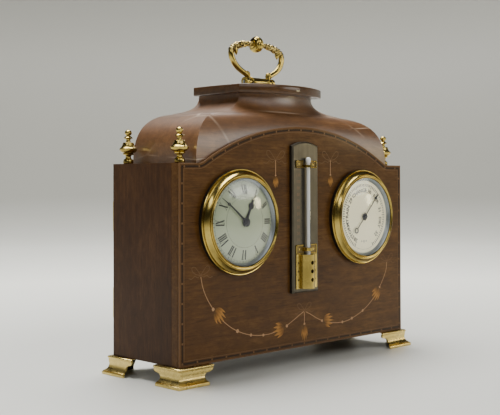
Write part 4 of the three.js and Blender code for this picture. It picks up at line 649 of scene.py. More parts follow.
inner_half = HALF_WIDTH - SIDE_THICKNESS
deck_underside = CASE_HEIGHT - BOARD_THICKNESS
boards = {
    "left_side": (-HALF_WIDTH, -inner_half, FRONT_THICKNESS, CASE_DEPTH, 0, CASE_HEIGHT),
    "right_side": (inner_half, HALF_WIDTH, FRONT_THICKNESS, CASE_DEPTH, 0, CASE_HEIGHT),
    "bottom_board": (-inner_half, inner_half, FRONT_THICKNESS, CASE_DEPTH, 0, BOARD_THICKNESS),
    "deck": (-inner_half, inner_half, FRONT_THICKNESS, CASE_DEPTH, deck_underside, CASE_HEIGHT),
}
for name, extent in boards.items():
    make_piece(name + "_dressed", *board(*extent), side_wood_painted_darker, "case", "side_mahogany", [name], bevel=0.3)

# %% [markdown]
# ## The caddy top
# The caddy is an ogee: it rises straight from the deck, turns over a shoulder and sweeps up a
# hollow neck to the cap. Its plan is straight at the back and bows forward more and more
# towards the neck. It is lofted through many such plans, and the mitres at the front corners
# stay sharp.

# %% Caddy top
CADDY_HALF = HALF_WIDTH - 17
CADDY_FRONT = LIP_THICKNESS + 0.3
CADDY_BACK = CASE_DEPTH - 1
CADDY_HEIGHT = 52.3
SHOULDER_HEIGHT = 37.4
SIDE_SHOULDER, SIDE_NECK = 36, 63.6
FRONT_SHOULDER, FRONT_NECK = 15.6, 24.3
NECK_BOW = 10.6


def ogee(shoulder, neck, steps=22):
    """How far the face stands in at each height, from the deck to the neck."""
    rise = SHOULDER_HEIGHT + CADDY_HEIGHT * 0.19 * 0.28
    foot = [(0, 0), (0, SHOULDER_HEIGHT * 0.62), (shoulder * 0.28, SHOULDER_HEIGHT * 0.92),
        (shoulder, SHOULDER_HEIGHT)]
    hollow = [foot[-1], (shoulder + (neck - shoulder) * 0.5, rise), (neck, CADDY_HEIGHT * 0.8),
        (neck, CADDY_HEIGHT)]
    return bezier(foot, steps) + bezier(hollow, steps)[1:]


def bowed_plan(half, front, back, bow, height, steps=48):
    """A plan with a straight back and a front that bows forward."""
    points = [(-half, back, height)]
    for step in range(steps + 1):
        x = half * (2 * step / steps - 1)
        points.append((x, front - bow * (1 - (x / half) ** 2), height))
    points.append((half, back, height))
    return points


caddy_rings = []
for side, face in zip(ogee(SIDE_SHOULDER, SIDE_NECK), ogee(FRONT_SHOULDER, FRONT_NECK)):
    bow = NECK_BOW * face[0] / FRONT_NECK
    caddy_rings.append(bowed_plan(CADDY_HALF - side[0], CADDY_FRONT + face[0], CADDY_BACK, bow,
        CASE_HEIGHT + side[1]))
make_piece("caddy_top_dressed", *loft(caddy_rings), caddy_wood_painted_lighter, "case", "caddy_mahogany", ["caddy_top"],
    crease=30)
print("Caddy top lofted through", len(caddy_rings), "plans")

# %% [markdown]
# The cap is a flat board with a bowed front. Its edge is slightly rounded by hand, so the loft
# steps in by a fraction of a millimetre at its top and bottom.

# %% Cap board
CAP_THICKNESS = 6.7
CAP_HALF = CADDY_HALF - SIDE_NECK + 5.4
CAP_FRONT = CADDY_FRONT + FRONT_NECK - 5.8
CAP_BOW = NECK_BOW * (CAP_HALF / (CADDY_HALF - SIDE_NECK)) ** 2
CAP_LOW = CASE_HEIGHT + CADDY_HEIGHT
CAP_TOP = CAP_LOW + CAP_THICKNESS
EDGE = 0.7
cap_rings = []
for height, inset in ((0, EDGE), (EDGE * 0.3, EDGE * 0.3), (EDGE, 0), (CAP_THICKNESS - EDGE, 0),
        (CAP_THICKNESS - EDGE * 0.3, EDGE * 0.3), (CAP_THICKNESS, EDGE)):
    cap_rings.append(bowed_plan(CAP_HALF - inset, CAP_FRONT + inset, CADDY_BACK - inset, CAP_BOW,
        CAP_LOW + height))
make_piece("cap_board_dressed", *loft(cap_rings), cap_wood, "case", "side_mahogany", ["cap_board"],
    crease=50)

# %% [markdown]
# ## The handle
# The bail is a bent brass bar with a turned knob in its middle. Its lower arms are smooth, with
# a spur and a scroll, and its upper arms are chased into leaves that wind along them. It hangs
# between two ears on a small plate and folds about a rod, which runs through a barrel with
# flared ends. A curve swept with a changing radius suits the smooth arms, and Geometry Nodes can
# do exactly that: the points of the path carry their own radius, Curve to Mesh reads it, and the
# result is baked to a plain mesh. The chased arms are lofted ring by ring instead, because the
# cut of the leaves turns along the way.

# %% Geometry Nodes helper
class Making(Tree):
    """A Geometry Nodes tree with named inputs."""

    def __init__(self, name, **kinds):
        group = bpy.data.node_groups.new(name, "GeometryNodeTree")
        super().__init__(group)
        group.interface.new_socket("Geometry", in_out="INPUT", socket_type="NodeSocketGeometry")
        group.interface.new_socket("Geometry", in_out="OUTPUT", socket_type="NodeSocketGeometry")
        for label, kind in kinds.items():
            group.interface.new_socket(label, in_out="INPUT", socket_type="NodeSocket" + kind)
        self.entry = group.nodes.new("NodeGroupInput")
        self.exit = group.nodes.new("NodeGroupOutput")

    def given(self, label):
        return Value(self.entry.outputs[label])

    def end(self, geometry, material):
        """Realizes the instances, sets the finish and closes the tree."""
        real = self.node("GeometryNodeRealizeInstances", inputs={"Geometry": geometry})
        done = self.node("GeometryNodeSetMaterial", inputs={"Geometry": real, "Material": material})
        plug(self.tree, self.exit.inputs[0], done)


def bake(name, points, edges, making, settings, attributes=None):
    """Runs a tree on a line or cloud of points and returns the plain mesh it makes."""
    mesh = bpy.data.meshes.new(name + "_seed")
    mesh.from_pydata(case_points(points), edges, [])
    for label, (kind, values) in (attributes or {}).items():
        layer = mesh.attributes.new(label, kind, "POINT")
        field = "vector" if kind == "FLOAT_VECTOR" else "value"
        for item, value in zip(layer.data, values):
            setattr(item, field, value)
    seed = bpy.data.objects.new(name + "_seed", mesh)
    scene.collection.objects.link(seed)
    modifier = seed.modifiers.new("making", "NODES")
    modifier.node_group = making.tree
    for item in making.tree.interface.items_tree:
        if item.in_out == "INPUT" and item.name in settings:
            modifier[item.identifier] = settings[item.name]
    ready = seed.evaluated_get(bpy.context.evaluated_depsgraph_get())
    made = bpy.data.meshes.new_from_object(ready)
    bpy.data.objects.remove(seed)
    return made


# %% A bar swept along a line
sweeping = Making("swept_bar", Sides="Int", Finish="Material")
bar_radius = sweeping.node("GeometryNodeInputNamedAttribute", {"data_type": "FLOAT"}, {"Name": "thickness"})
bar_path = sweeping.node("GeometryNodeMeshToCurve", inputs={"Mesh": sweeping.given("Geometry")})
bar_round = sweeping.node("GeometryNodeCurvePrimitiveCircle", inputs={"Resolution": sweeping.given("Sides"),
    "Radius": 1.0})
bar = sweeping.node("GeometryNodeCurveToMesh", inputs={"Curve": bar_path, "Profile Curve": bar_round,
    "Scale": bar_radius, "Fill Caps": True})
sweeping.end(bar, sweeping.given("Finish"))


def swept(name, path, radii, finish, sides=24):
    """A round bar along a path, with a radius at each point, as a baked mesh."""
    edges = [(i, i + 1) for i in range(len(path) - 1)]
    thickness = {"thickness": ("FLOAT", [radius * MM for radius in radii])}
    return bake(name, path, edges, sweeping, {"Sides": sides, "Finish": finish}, thickness)


def mesh_parts(mesh):
    """A baked mesh back in the case's millimetres, to be joined with other forms."""
    points = [tuple((vertex.co - CASE_ORIGIN) / MM) for vertex in mesh.vertices]
    return points, [list(face.vertices) for face in mesh.polygons]


# %% Bail
HANDLE_Y = (CAP_FRONT + CADDY_BACK) / 2
PIVOT_Z = CAP_TOP + 5
BAIL_RISE = 29.8
BAIL_LEAN = math.radians(4)
EYE_OUTER = 15.5 - 2.8 - 0.35
EYE_INNER = EYE_OUTER - 3.1
EYE_MIDDLE = (EYE_OUTER + EYE_INNER) / 2


def on_bail(x, y, z):
    """A point of the bail, drawn about its pivot, where the leaning bail has it."""
    lean_y = y * math.cos(BAIL_LEAN) + z * math.sin(BAIL_LEAN)
    lean_z = z * math.cos(BAIL_LEAN) - y * math.sin(BAIL_LEAN)
    return (x, HANDLE_Y + lean_y, PIVOT_Z + lean_z)


lower_arm = [(11.4, 4.4, 1.7), (12.8, 5.6, 2.1), (16.0, 7.3, 2.1), (20.2, 9.5, 2.2), (24.2, 12.9, 2.3),
    (26.8, 17.2, 2.3), (27.6, 21.0, 2.3), (27.2, 23.4, 2.0), (25.8, 24.8, 1.2)]
upper_arm = [(28.6, 21.9, 0.6), (28.2, 22.8, 2.0), (26.2, 24.6, 2.6), (22.3, 26.7, 2.9), (17.0, 28.4, 2.8),
    (12.0, 29.3, 2.5), (8.0, 29.7, 2.0), (4.4, 29.9, 1.7), (2.0, 29.9, 1.7)]
spur = [(24.0, 25.2, 2.4), (22.9, 23.4, 2.0), (22.4, 21.6, 1.3), (22.3, 19.8, 0.3)]
scroll = [(13.6, 6.2, 1.6), (12.4, 6.6, 2.0), (11.0, 6.4, 1.9), (10.2, 5.5, 1.3), (10.4, 4.8, 0.5)]
CHASED_LEAVES, LEAF_TWIST = 5, 0.85


def chased(side, knots, depth, sides=36):
    """A bar along the bail whose surface is cut into leaves that wind round it."""
    drawn = through(knots, 9)
    rings, travelled = [], 0
    for here, after in zip(drawn,
            drawn[1:] + [(2 * drawn[-1][0] - drawn[-2][0], 2 * drawn[-1][1] - drawn[-2][1], 0)]):
        along = Vector((after[0] - here[0], 0, after[1] - here[1]))
        travelled += along.length
        across = Vector((along.z, 0, -along.x)).normalized()
        ring = []
        for step in range(sides):
            angle = 2 * math.pi * step / sides
            cut = depth * abs(math.sin(angle * CHASED_LEAVES / 2 + travelled * LEAF_TWIST)) - depth
            ripple = 0.35 * depth * math.cos(travelled * 2.6)
            spot = (across * math.cos(angle) + Vector((0, 1, 0)) * math.sin(angle)) * (here[2]
                * (1 + cut + ripple))
            ring.append(on_bail(side * (here[0] + spot.x), spot.y, here[1] + spot.z))
        rings.append(ring)
    return loft([[(x, z, y) for x, y, z in ring] for ring in rings])


bail_parts, chased_parts = [], []
for side in (-1, 1):
    for knots in (lower_arm, spur, scroll):
        drawn = through(knots, 6)
        path = [on_bail(side * x, 0, z) for x, z, _ in drawn]
        bail_parts.append(mesh_parts(swept("bail_arm", path, [r for _, _, r in drawn], polished_brass)))
    points, faces = chased(side, upper_arm, 0.26)
    chased_parts.append(([(x, y, z) for x, z, y in points], faces))
    eye_profile = [(1.45, EYE_INNER), (2.5, EYE_INNER), (3.0, EYE_INNER + 0.5), (3.0, EYE_OUTER - 0.5),
        (2.5, EYE_OUTER), (1.45, EYE_OUTER), (1.45, EYE_INNER)]
    bail_parts.append(turned([(r, side * x) for r, x in eye_profile], (0, HANDLE_Y, PIVOT_Z), "X", 32))
    shank = [on_bail(side * EYE_MIDDLE, 0, z) for z in (1.6, 3, 4.5, 6.0)]
    bail_parts.append(mesh_parts(swept("bail_shank", shank, [1.5, 1.6, 1.8, 2.0], polished_brass)))
knob_profile = [(0, -5.0), (2.3, -5.0), (2.8, -4.7), (2.8, -4.3), (2.4, -4.0), (3.6, -3.9), (4.7, -3.5),
    (4.9, -3.1), (4.7, -2.75), (5.3, -2.6), (5.75, -2.2), (5.75, -1.8), (5.4, -1.5), (5.8, -1.35),
    (6.3, -0.9), (6.4, -0.3), (6.4, 0)]
knob_profile += [(r, -x) for r, x in reversed(knob_profile[:-1])]
bail_parts.append(turned(knob_profile, on_bail(0, 0, BAIL_RISE), "X", 48))
bail_points, bail_faces = merged(*bail_parts)
make_piece("handle_bail_dressed", bail_points, bail_faces, polished_brass, "bail", "polished_brass",
    ["handle_bail"])
# The chased arms get near-black flecks at random: painted shade for the cuts of the chasing.
painted_shade_flecks = brass("chased_brass", (0.50, 0.38, 0.13), (0.02, 0.013, 0.005), 0.14, patch=420, share=1.0)
make_piece("bail_chasing", *merged(*chased_parts), painted_shade_flecks, "bail", "polished_brass")

# %% Handle plate and barrel
EAR_INNER, EAR_OUTER = 12.7, 15.5
plate = slab(oblong(-EAR_OUTER, EAR_OUTER, HANDLE_Y - 7, HANDLE_Y + 7), [], CAP_TOP, CAP_TOP + 1.5, 0.35,
    "Z")
plate_parts = [plate]
for side in (-1, 1):
    inner, outer = side * EAR_INNER, side * EAR_OUTER
    plate_parts.append(turned([(1.45, inner), (3.2, inner), (3.5, inner + side * 0.3),
        (3.5, outer - side * 0.3), (3.2, outer), (1.45, outer), (1.45, inner)], (0, HANDLE_Y, PIVOT_Z), "X",
        48))
    cheek = oblong(HANDLE_Y - 3.5, HANDLE_Y + 3.5, CAP_TOP, PIVOT_Z - 1.2)
    plate_parts.append(slab(cheek, [], min(inner, outer), max(inner, outer), 0.25, "X"))
BARREL_HALF = EYE_INNER - 0.35
barrel = [(1.45, -BARREL_HALF), (3.6, -BARREL_HALF), (4.0, -BARREL_HALF + 0.4), (3.5, -BARREL_HALF + 2.4),
    (3.5, BARREL_HALF - 2.4), (4.0, BARREL_HALF - 0.4), (3.6, BARREL_HALF), (1.45, BARREL_HALF),
    (1.45, -BARREL_HALF)]
plate_parts.append(turned(barrel, (0, HANDLE_Y, PIVOT_Z), "X", 48))
web = oblong(HANDLE_Y - 1.5, HANDLE_Y + 1.5, CAP_TOP + 0.5, PIVOT_Z - 1.5)
plate_parts.append(slab(web, [], -BARREL_HALF, BARREL_HALF, 0, "X"))
plate_points, plate_faces = merged(*plate_parts)
make_piece("handle_plate_dressed", plate_points, plate_faces, polished_brass, "case", "polished_brass",
    ["handle_plate"])

# %% [markdown]
# ## Finials
# Each finial is turned on a lathe from one bar: a spigot that goes into the case, a foot, a
# small knop, the wide body that narrows upwards in a hollow curve, a neck with a ring, and a
# ball. The profile is a list of radii and heights, and cubic curves draw its longer sweeps.

# %% Finials
finial_profile = [(0, -6.5), (1.5, -6.5), (1.5, 0), (3.3, 0), (3.55, 0.5), (3.6, 1.2), (3.55, 2.6),
    (3.2, 3.3), (2.4, 3.7), (2.0, 4.3), (1.9, 5.0), (2.1, 5.8), (2.9, 6.3), (3.8, 6.6), (4.0, 7.1),
    (3.7, 7.5)]
finial_profile += bezier([(3.5, 7.8), (5.2, 8.0), (6.2, 9.2), (6.35, 10.6)], 10) + [(6.35, 11.0)]
finial_profile += bezier([(6.2, 11.2), (5.0, 11.8), (4.3, 13.2), (3.9, 15.0)], 10)
finial_profile += [(3.6, 15.3), (2.0, 15.4), (1.7, 15.8), (1.5, 16.8), (1.7, 17.7), (3.1, 18.1),
    (3.3, 18.4), (3.0, 18.9), (1.9, 19.7), (1.5, 20.2)]
finial_profile += [(2.55 * math.sin(a), 22.2 - 2.2 * math.cos(a)) for a in [0.6 + (math.pi - 0.6) * i / 12
    for i in range(12)]] + [(0, 24.4)]
for place in ("front_left", "front_right", "back_left", "back_right"):
    name = "finial_" + place
    low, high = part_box(name)
    middle = (low + high) / 2 - CASE_ORIGIN
    make_piece(name + "_dressed", *turned(finial_profile, (middle.x / MM, middle.y / MM, CASE_HEIGHT), "Z",
        64), polished_brass, "case", "polished_brass", [name], crease=45)

# %% [markdown]
# ## Feet
# A bracket foot is a thin L-shaped casting, hollow behind. Its face has a rolled flange under
# the case, steps in to a waist, and flares to a toe. The same stack of L-shaped rings serves for
# all four, turned to its corner. A second, thinner stack lines the back of the wall with a rough,
# near-black finish, which is painted shade for the hollow behind the foot.

# %% Feet
WAIST_LENGTH = 20
foot_levels = [(0, 1.6, 27.0), (-0.35, 2.5, 27.8), (-0.9, 2.9, 28.0), (-1.5, 2.85, 28.0), (-1.9, 2.4, 27.9),
    (-2.6, 2.3, 27.8),
               (-3.6, 2.3, 27.6), (-4.4, 2.2, 26.4), (-4.9, 2.1, 24.0), (-5.3, 2.0, 22.2),
               (-6.0, 2.0, 20.9), (-7.2, 2.15, 20.2),
               (-8.4, 2.6, 20.0), (-9.3, 3.3, 20.2), (-9.9, 4.1, 20.6), (-10.2, 4.5, 20.8),
               (-10.35, 4.9, 21.2), (-10.6, 5.3, 21.4),
               (-10.9, 5.0, 21.2), (-11.0, 5.4, 21.3), (-11.3, 5.7, 21.5), (-13.0, 5.7, 21.5),
               (-13.2, 5.5, 21.3)]
SIDE_WING = 0.86
FOOT_WALL = 1.5
# Near-black and rough: painted shade for the inside of the foot.
rough_casting = Finish("rough_casting", Metallic=0.6)
sand = rough_casting.noise(900, detail=4, roughness=0.7)
rough_casting.feed("Base Color", rough_casting.blend(sand, (0.012, 0.010, 0.007), (0.035, 0.028, 0.018)))
rough_casting.feed("Roughness", 0.6 + 0.25 * sand)
rough_casting.bump(sand, 0.5, 0.0002)
for name, side, end in (("foot_front_left", -1, -1), ("foot_front_right", 1, -1), ("foot_back_left", -1, 1),
        ("foot_back_right", 1, 1)):
    rings, lining = [], []
    corner_y = 0 if end < 0 else CASE_DEPTH
    for z, out, length in foot_levels:
        wing = length * SIDE_WING
        back = FOOT_WALL - out
        plan = [(-out, -out), (length, -out), (length, back), (back, back), (back, wing), (-out, wing)]
        near, far = back - 0.1, back + 0.15
        inner = [(near, near), (length - 0.3, near), (length - 0.3, far), (far, far), (far, wing - 0.3),
            (near, wing - 0.3)]
        rings.append([(side * (HALF_WIDTH - x), corner_y - end * y, z) for x, y in plan])
        lining.append([(side * (HALF_WIDTH - x), corner_y - end * y, z) for x, y in inner])
    make_piece(name + "_lining", *loft(lining), rough_casting.material, "case", "satin_brass")
    web_x, web_y = WAIST_LENGTH - 1, (WAIST_LENGTH - 1) * SIDE_WING
    web_block = slab(oblong(-1, web_x, -1, web_y), [], -2, 0, axis="Z")
    web_placed = ([(side * (HALF_WIDTH - x), corner_y - end * y, z) for x, y, z in web_block[0]],
        web_block[1])
    points, faces = merged(loft(rings), web_placed)
    make_piece(name + "_dressed", points, faces, satin_brass, "case", "satin_brass", [name], crease=50)

# %% [markdown]
# ## Bezels and glasses
# The clock and the barometer share one pattern of bezel, turned in brass: a stepped outer rim, a
# sloping hollow and small beads round the glass. Its outer wall is painted near-black, as painted
# shade for the gap under the rim, so that wall is a ring of its own with its own finish.

# %% Bezels
bezel_profile = [(34.4, 0), (34.4, -1.7), (34.9, -2.4), (36.5, -2.6), (36.84, -2.9), (36.84, -3.4),
    (36.5, -3.8), (36.1, -3.7), (35.9, -3.4), (35.7, -3.7),
                 (35.6, -4.4), (34.9, -5.0), (34.2, -5.8), (33.6, -6.8), (33.3, -7.4), (33.1, -7.5),
                 (32.9, -7.3), (32.7, -7.3), (32.6, -7.8), (32.3, -8.1),
                 (31.9, -8.0), (31.6, -7.6), (31.3, -7.5), (31.15, -7.9), (30.9, -8.15), (30.65, -8.0),
                 (30.6, -7.5), (30.9, -7.1), (30.9, -1.7), (33.6, -1.7), (33.6, 0), (34.4, 0)]
wall_profile = [(34.2, 0), (36.4, 0), (36.4, -2.75), (34.2, -2.75), (34.2, 0)]
# Near-black: painted shade for the gap under the bezels' rims and beside the thermometer plate.
blackened_edge = varied("blackened_edge", (0.008, 0.007, 0.005), (0.025, 0.02, 0.014), 0.35, 0.2, 600, 3,
                        Metallic=0.5)
GLASS_SHOULDER, GLASS_DOME, GLASS_EDGE = 30.4, 3.65, 7.6
glass_sphere = (GLASS_SHOULDER ** 2 + GLASS_DOME ** 2) / (2 * GLASS_DOME)
for name, centre in instrument_centres.items():
    make_piece(name + "_bezel_dressed", *turned(bezel_profile, centre, "Y", 128), polished_brass, "case",
        "polished_brass", [name + "_bezel"], crease=25)
    make_piece(name + "_bezel_wall", *turned(wall_profile, centre, "Y", 128), blackened_edge, "case",
        "polished_brass")

# %% [markdown]
# The glass is a thin dome held behind the beads. Real glass lets most light through and mirrors
# more of the room the flatter one looks along it. A shader that bends light would leave the dial
# in a dark shadow, so the glass is a mirror instead. Its opacity follows a short form of the
# Fresnel law at half its strength, and faint wipe marks vary its gloss.

# %% Glass
glass_finish = Finish("clear_glass", Metallic=1.0)
slant = glass_finish.node("ShaderNodeLayerWeight", inputs={"Blend": 0.5}, output="Facing")
mirror_share = 0.04 + 0.96 * slant.reckon("POWER", slant, 5.0)
wiped = glass_finish.noise(90, detail=4, roughness=0.7, distortion=0.6)
glass_finish.feed("Base Color", glass_finish.blend(wiped, (0.95, 0.97, 0.96), (0.86, 0.90, 0.89)))
glass_finish.feed("Roughness", 0.05 + 0.08 * wiped)
glass_finish.feed("Alpha", mirror_share * 0.5 + 0.01 * wiped)
clear_glass = glass_finish.material


def dome(radius, depth, steps):
    """One face of the glass, from the middle to its rim."""
    front = -GLASS_EDGE - GLASS_DOME + depth + glass_sphere
    radii = [radius * i / steps for i in range(steps + 1)]
    return [(r, front - math.sqrt(glass_sphere ** 2 - r ** 2)) for r in radii]


GLASS_THICKNESS = 1.4
glass_profile = dome(GLASS_SHOULDER, 0, 20) + [(30.75, -7.5), (30.75, -6.3)]
glass_profile += dome(GLASS_SHOULDER - 0.4, GLASS_THICKNESS, 18)[::-1]
for name, centre in instrument_centres.items():
    make_piece(name + "_glass_dressed", *turned(glass_profile, centre, "Y", 96), clear_glass, "case",
        "clear_glass", [name + "_glass"])

# %% [markdown]
# Inside each bezel a silvered slip hides the gap between glass and dial. It is the grey ring
# that shows on the far side when one looks across the dial.

# %% Slips
def silvering(name, light, dull, roughness, metallic, stretch=(1, 1, 1), scale=900):
    """Silvered or brushed white metal with fine lines and dull patches; the thermometer plate's dark
    colours are partly its own dull tone and partly a painted dark reflection.
    """
    finish = Finish(name, Metallic=metallic)
    lines = finish.noise(scale, detail=3, stretch=stretch)
    clouds = finish.noise(70, detail=4, roughness=0.6)
    finish.feed("Base Color", finish.blend(clouds * 0.6 + lines * 0.4, light, dull))
    finish.feed("Roughness", roughness + 0.15 * lines)
    finish.bump(lines, 0.12, 0.00005)
    return finish.material


slip_metal = silvering("silvered_slip", (0.30, 0.33, 0.34), (0.18, 0.20, 0.21), 0.3, 0.9)
slip_profile = [(30.3, -6.9), (29.5, -6.3), (28.5, -4.9), (28.3, -4.45), (29.6, -4.45), (30.7, -5.2),
    (30.7, -6.2), (30.3, -6.9)]
for name, centre in instrument_centres.items():
    make_piece(name + "_slip", *turned(slip_profile, centre, "Y", 96), slip_metal, "case", "silvered_metal")

# %% [markdown]
# ## Things that repeat
# Minute marks, beads, husks and screws are one small shape set out many times. A tree places a
# pattern on every point of a cloud, turned and sized by numbers stored on the point.

# %% Setting out
setting_out = Making("setting_out", Pattern="Object", Finish="Material")
spot_turn = setting_out.node("GeometryNodeInputNamedAttribute", {"data_type": "FLOAT"}, {"Name": "turn"})
spot_size = setting_out.node("GeometryNodeInputNamedAttribute", {"data_type": "FLOAT_VECTOR"},
    {"Name": "size"})
spot_pattern = setting_out.node("GeometryNodeObjectInfo", inputs={"Object": setting_out.given("Pattern"),
    "As Instance": True}, output="Geometry")
spot_rotation = setting_out.node("FunctionNodeAxisAngleToRotation",
    inputs={"Axis": (0.0, 1.0, 0.0), "Angle": spot_turn})
set_out_shapes = setting_out.node("GeometryNodeInstanceOnPoints", inputs={
    "Points": setting_out.given("Geometry"), "Instance": spot_pattern, "Rotation": spot_rotation,
    "Scale": spot_size})
setting_out.end(set_out_shapes, setting_out.given("Finish"))


def set_out(name, spots, turns, sizes, shape, finish, shades=None):
    """One shape at many spots. Turns are clockwise from upright, seen from the front."""
    mesh = bpy.data.meshes.new(name + "_pattern")
    points, faces = shape
    mesh.from_pydata([Vector(point) * MM for point in points], [], faces)
    if shades:
        layer = mesh.attributes.new("shade", "FLOAT", "POINT")
        for item, shade in zip(layer.data, shades):
            item.value = shade
    pattern = bpy.data.objects.new(name + "_pattern", mesh)
    scene.collection.objects.link(pattern)
    made = bake(name, spots, [], setting_out, {"Pattern": pattern, "Finish": finish},
                {"turn": ("FLOAT", turns), "size": ("FLOAT_VECTOR", sizes)})
    bpy.data.objects.remove(pattern)
    print(name, "set out", len(spots), "times")
    return made


# %% [markdown]
# ## Dials
# The clock dial is pale enamel, slightly cloudy, on a domed disc, and the barometer's is flat
# and silvered. The clock's numerals are radial, with their feet towards the middle, and four
# o'clock is IIII. Each letter is built from its strokes: thick ones, hairlines and serifs, as an
# engraver would cut them. A stroke is a thin strip with points along it, so that it can be laid
# over the dome.

# %% Enamel, silvered dial and printing ink
dial_enamel = varied("dial_enamel", (0.31, 0.36, 0.235), (0.385, 0.435, 0.3), 0.25, 0.1, 45, 3,
                     Coat_Weight=0.6, Coat_Roughness=0.08)
silvered_dial = silvering("silvered_dial", (1.0, 0.95, 0.68), (0.95, 0.88, 0.61), 0.5, 0.1, scale=1400)
black_ink = varied("printing_ink", (0.004, 0.0045, 0.005), (0.012, 0.0125, 0.013), 0.35, 0.2, 800)
faded_ink = varied("faded_ink", (0.012, 0.011, 0.009), (0.05, 0.046, 0.04), 0.45, 0.2, 700)

DIAL_FRONT = -4.4
INK_FRONT, INK_BACK = DIAL_FRONT - 0.03, DIAL_FRONT + 0.05
DIAL_DOME = 3.0


def on_dial(side, radius, angle, across=0.0):
    """A point beside the ray at an angle clockwise from 12, at a radius from the centre."""
    x = radius * math.sin(angle) + across * math.cos(angle)
    z = radius * math.cos(angle) - across * math.sin(angle)
    return (side * INSTRUMENT_X + x, INSTRUMENT_Z + z)


def dial_ring(side, radius, width):
    """A thin printed circle."""
    outer, inner = radius + width / 2, radius - width / 2
    profile = [(inner, INK_FRONT), (outer, INK_FRONT), (outer, INK_BACK), (inner, INK_BACK),
        (inner, INK_FRONT)]
    return turned(profile, (side * INSTRUMENT_X, 0, INSTRUMENT_Z), "Y", 128)


def swell(radius):
    """How far the enamelled dial stands forward of a flat one at a radius."""
    return DIAL_DOME * (1 - min(1, radius / 29) ** 4)


def domed(shape):
    """Lays flat printing of the clock over its domed dial."""
    points, faces = shape
    return [(x, y - swell(math.hypot(x + INSTRUMENT_X, z - INSTRUMENT_Z)), z) for x, y, z in points], faces


for name, side, hole, finish, slot in (("clock", -1, 2.5, dial_enamel, "dial_enamel"),
        ("barometer", 1, 1.4, silvered_dial, "silvered_metal")):
    radii = [hole + (28.8 - hole) * step / 16 for step in range(17)]
    profile = [(r, DIAL_FRONT - (swell(r) if side < 0 else 0)) for r in radii] + [(29.6, -4.2),
        (29.9, -3.8), (29.9, -3.2), (hole, -3.2)]
    profile.append(profile[0])
    make_piece(name + "_dial_dressed", *turned(profile, (side * INSTRUMENT_X, 0, INSTRUMENT_Z), "Y", 96),
        finish, "case", slot, [name + "_dial"])


# %% Numerals
NUMERAL_LOW = 19.2
NUMERAL_HEIGHT = 6.9
THICK, HAIRLINE, SERIF = 1.02, 0.26, 0.3
letter_widths = {"I": 1.4, "V": 2.9, "X": 2.8}


def stroke(u0, v0, u1, v1, width, steps=5):
    """The left and right edges of a straight stroke, cut off level at its ends."""
    line = [(u0 + (u1 - u0) * i / steps, v0 + (v1 - v0) * i / steps) for i in range(steps + 1)]
    return [(u - width / 2, v) for u, v in line], [(u + width / 2, v) for u, v in line]


def ribbon(left, right):
    """A thin closed strip of printing between two edges."""
    points, faces = [], []
    for (a, b), (c, d) in zip(left, right):
        points += [(a, INK_FRONT, b), (c, INK_FRONT, d), (c, INK_BACK, d), (a, INK_BACK, b)]
    last = len(points) - 4
    for start in range(0, last, 4):
        for step in range(4):
            after = (step + 1) % 4
            faces.append((start + step, start + after, start + 4 + after, start + 4 + step))
    return points, faces + [(0, 1, 2, 3), (last, last + 1, last + 2, last + 3)]


def letter(kind, middle):
    """The strokes of one letter, in an upright frame whose base line is v = 0."""
    top, lean = NUMERAL_HEIGHT, letter_widths[kind] / 2 - 0.45
    if kind == "I":
        shapes = [stroke(middle, 0, middle, top, THICK)]
        feet = [(middle, 0), (middle, top - SERIF)]
    elif kind == "V":
        shapes = [stroke(middle, 0, middle - lean, top, THICK), stroke(middle, 0, middle + lean, top,
            HAIRLINE)]
        feet = [(middle - lean, top - SERIF), (middle + lean, top - SERIF)]
    else:
        shapes = [stroke(middle + lean, 0, middle - lean, top, THICK),
            stroke(middle - lean, 0, middle + lean, top, HAIRLINE)]
        feet = [(middle + way * lean, v) for way in (-1, 1) for v in (0, top - SERIF)]
    return shapes + [stroke(u, v, u, v + SERIF, 1.15, 1) for u, v in feet]


numeral_shapes = []
for hour, text in enumerate(("XII", "I", "II", "III", "IIII", "V", "VI", "VII", "VIII", "IX", "X", "XI")):
    angle = hour * math.pi / 6
    pen = -sum(letter_widths[kind] for kind in text) / 2
    for kind in text:
        for edges in letter(kind, pen + letter_widths[kind] / 2):
            numeral_shapes.append(ribbon(*([on_dial(-1, NUMERAL_LOW + v, angle, u) for u, v in edge]
                for edge in edges)))
        pen += letter_widths[kind]
make_piece("clock_numerals", *domed(merged(*numeral_shapes)), black_ink, "case", "dial_enamel")

# %% Minute track
TICK_INNER, TICK_OUTER = 27.0, 28.1
tick_angles = [2 * math.pi * minute / 60 for minute in range(60)]
tick_spots = [(x, (INK_FRONT + INK_BACK) / 2, z) for x,
    z in (on_dial(-1, (TICK_INNER + TICK_OUTER) / 2, angle) for angle in tick_angles)]
tick_sizes = [(0.55 if minute % 5 == 0 else 0.34, INK_BACK - INK_FRONT, TICK_OUTER - TICK_INNER)
    for minute in range(60)]


def unit_block():
    """A block one millimetre each way about the origin."""
    return slab(oblong(-0.5, 0.5, -0.5, 0.5), [], -0.5, 0.5)


tick_mesh = set_out("minute_marks", tick_spots, tick_angles, tick_sizes, unit_block(), black_ink)
track = merged(mesh_parts(tick_mesh), dial_ring(-1, TICK_INNER, 0.13), dial_ring(-1, TICK_OUTER, 0.13),
    dial_ring(-1, 17.6, 0.16))
make_piece("clock_minute_track", *domed(track), black_ink, "case", "dial_enamel")

# %% [markdown]
# The barometer's scale runs from seven o'clock over the top to five o'clock. Small words and
# numbers stand on an arc. Blender's text is flat, so each word becomes a mesh first and its
# points are then bent round the centre.

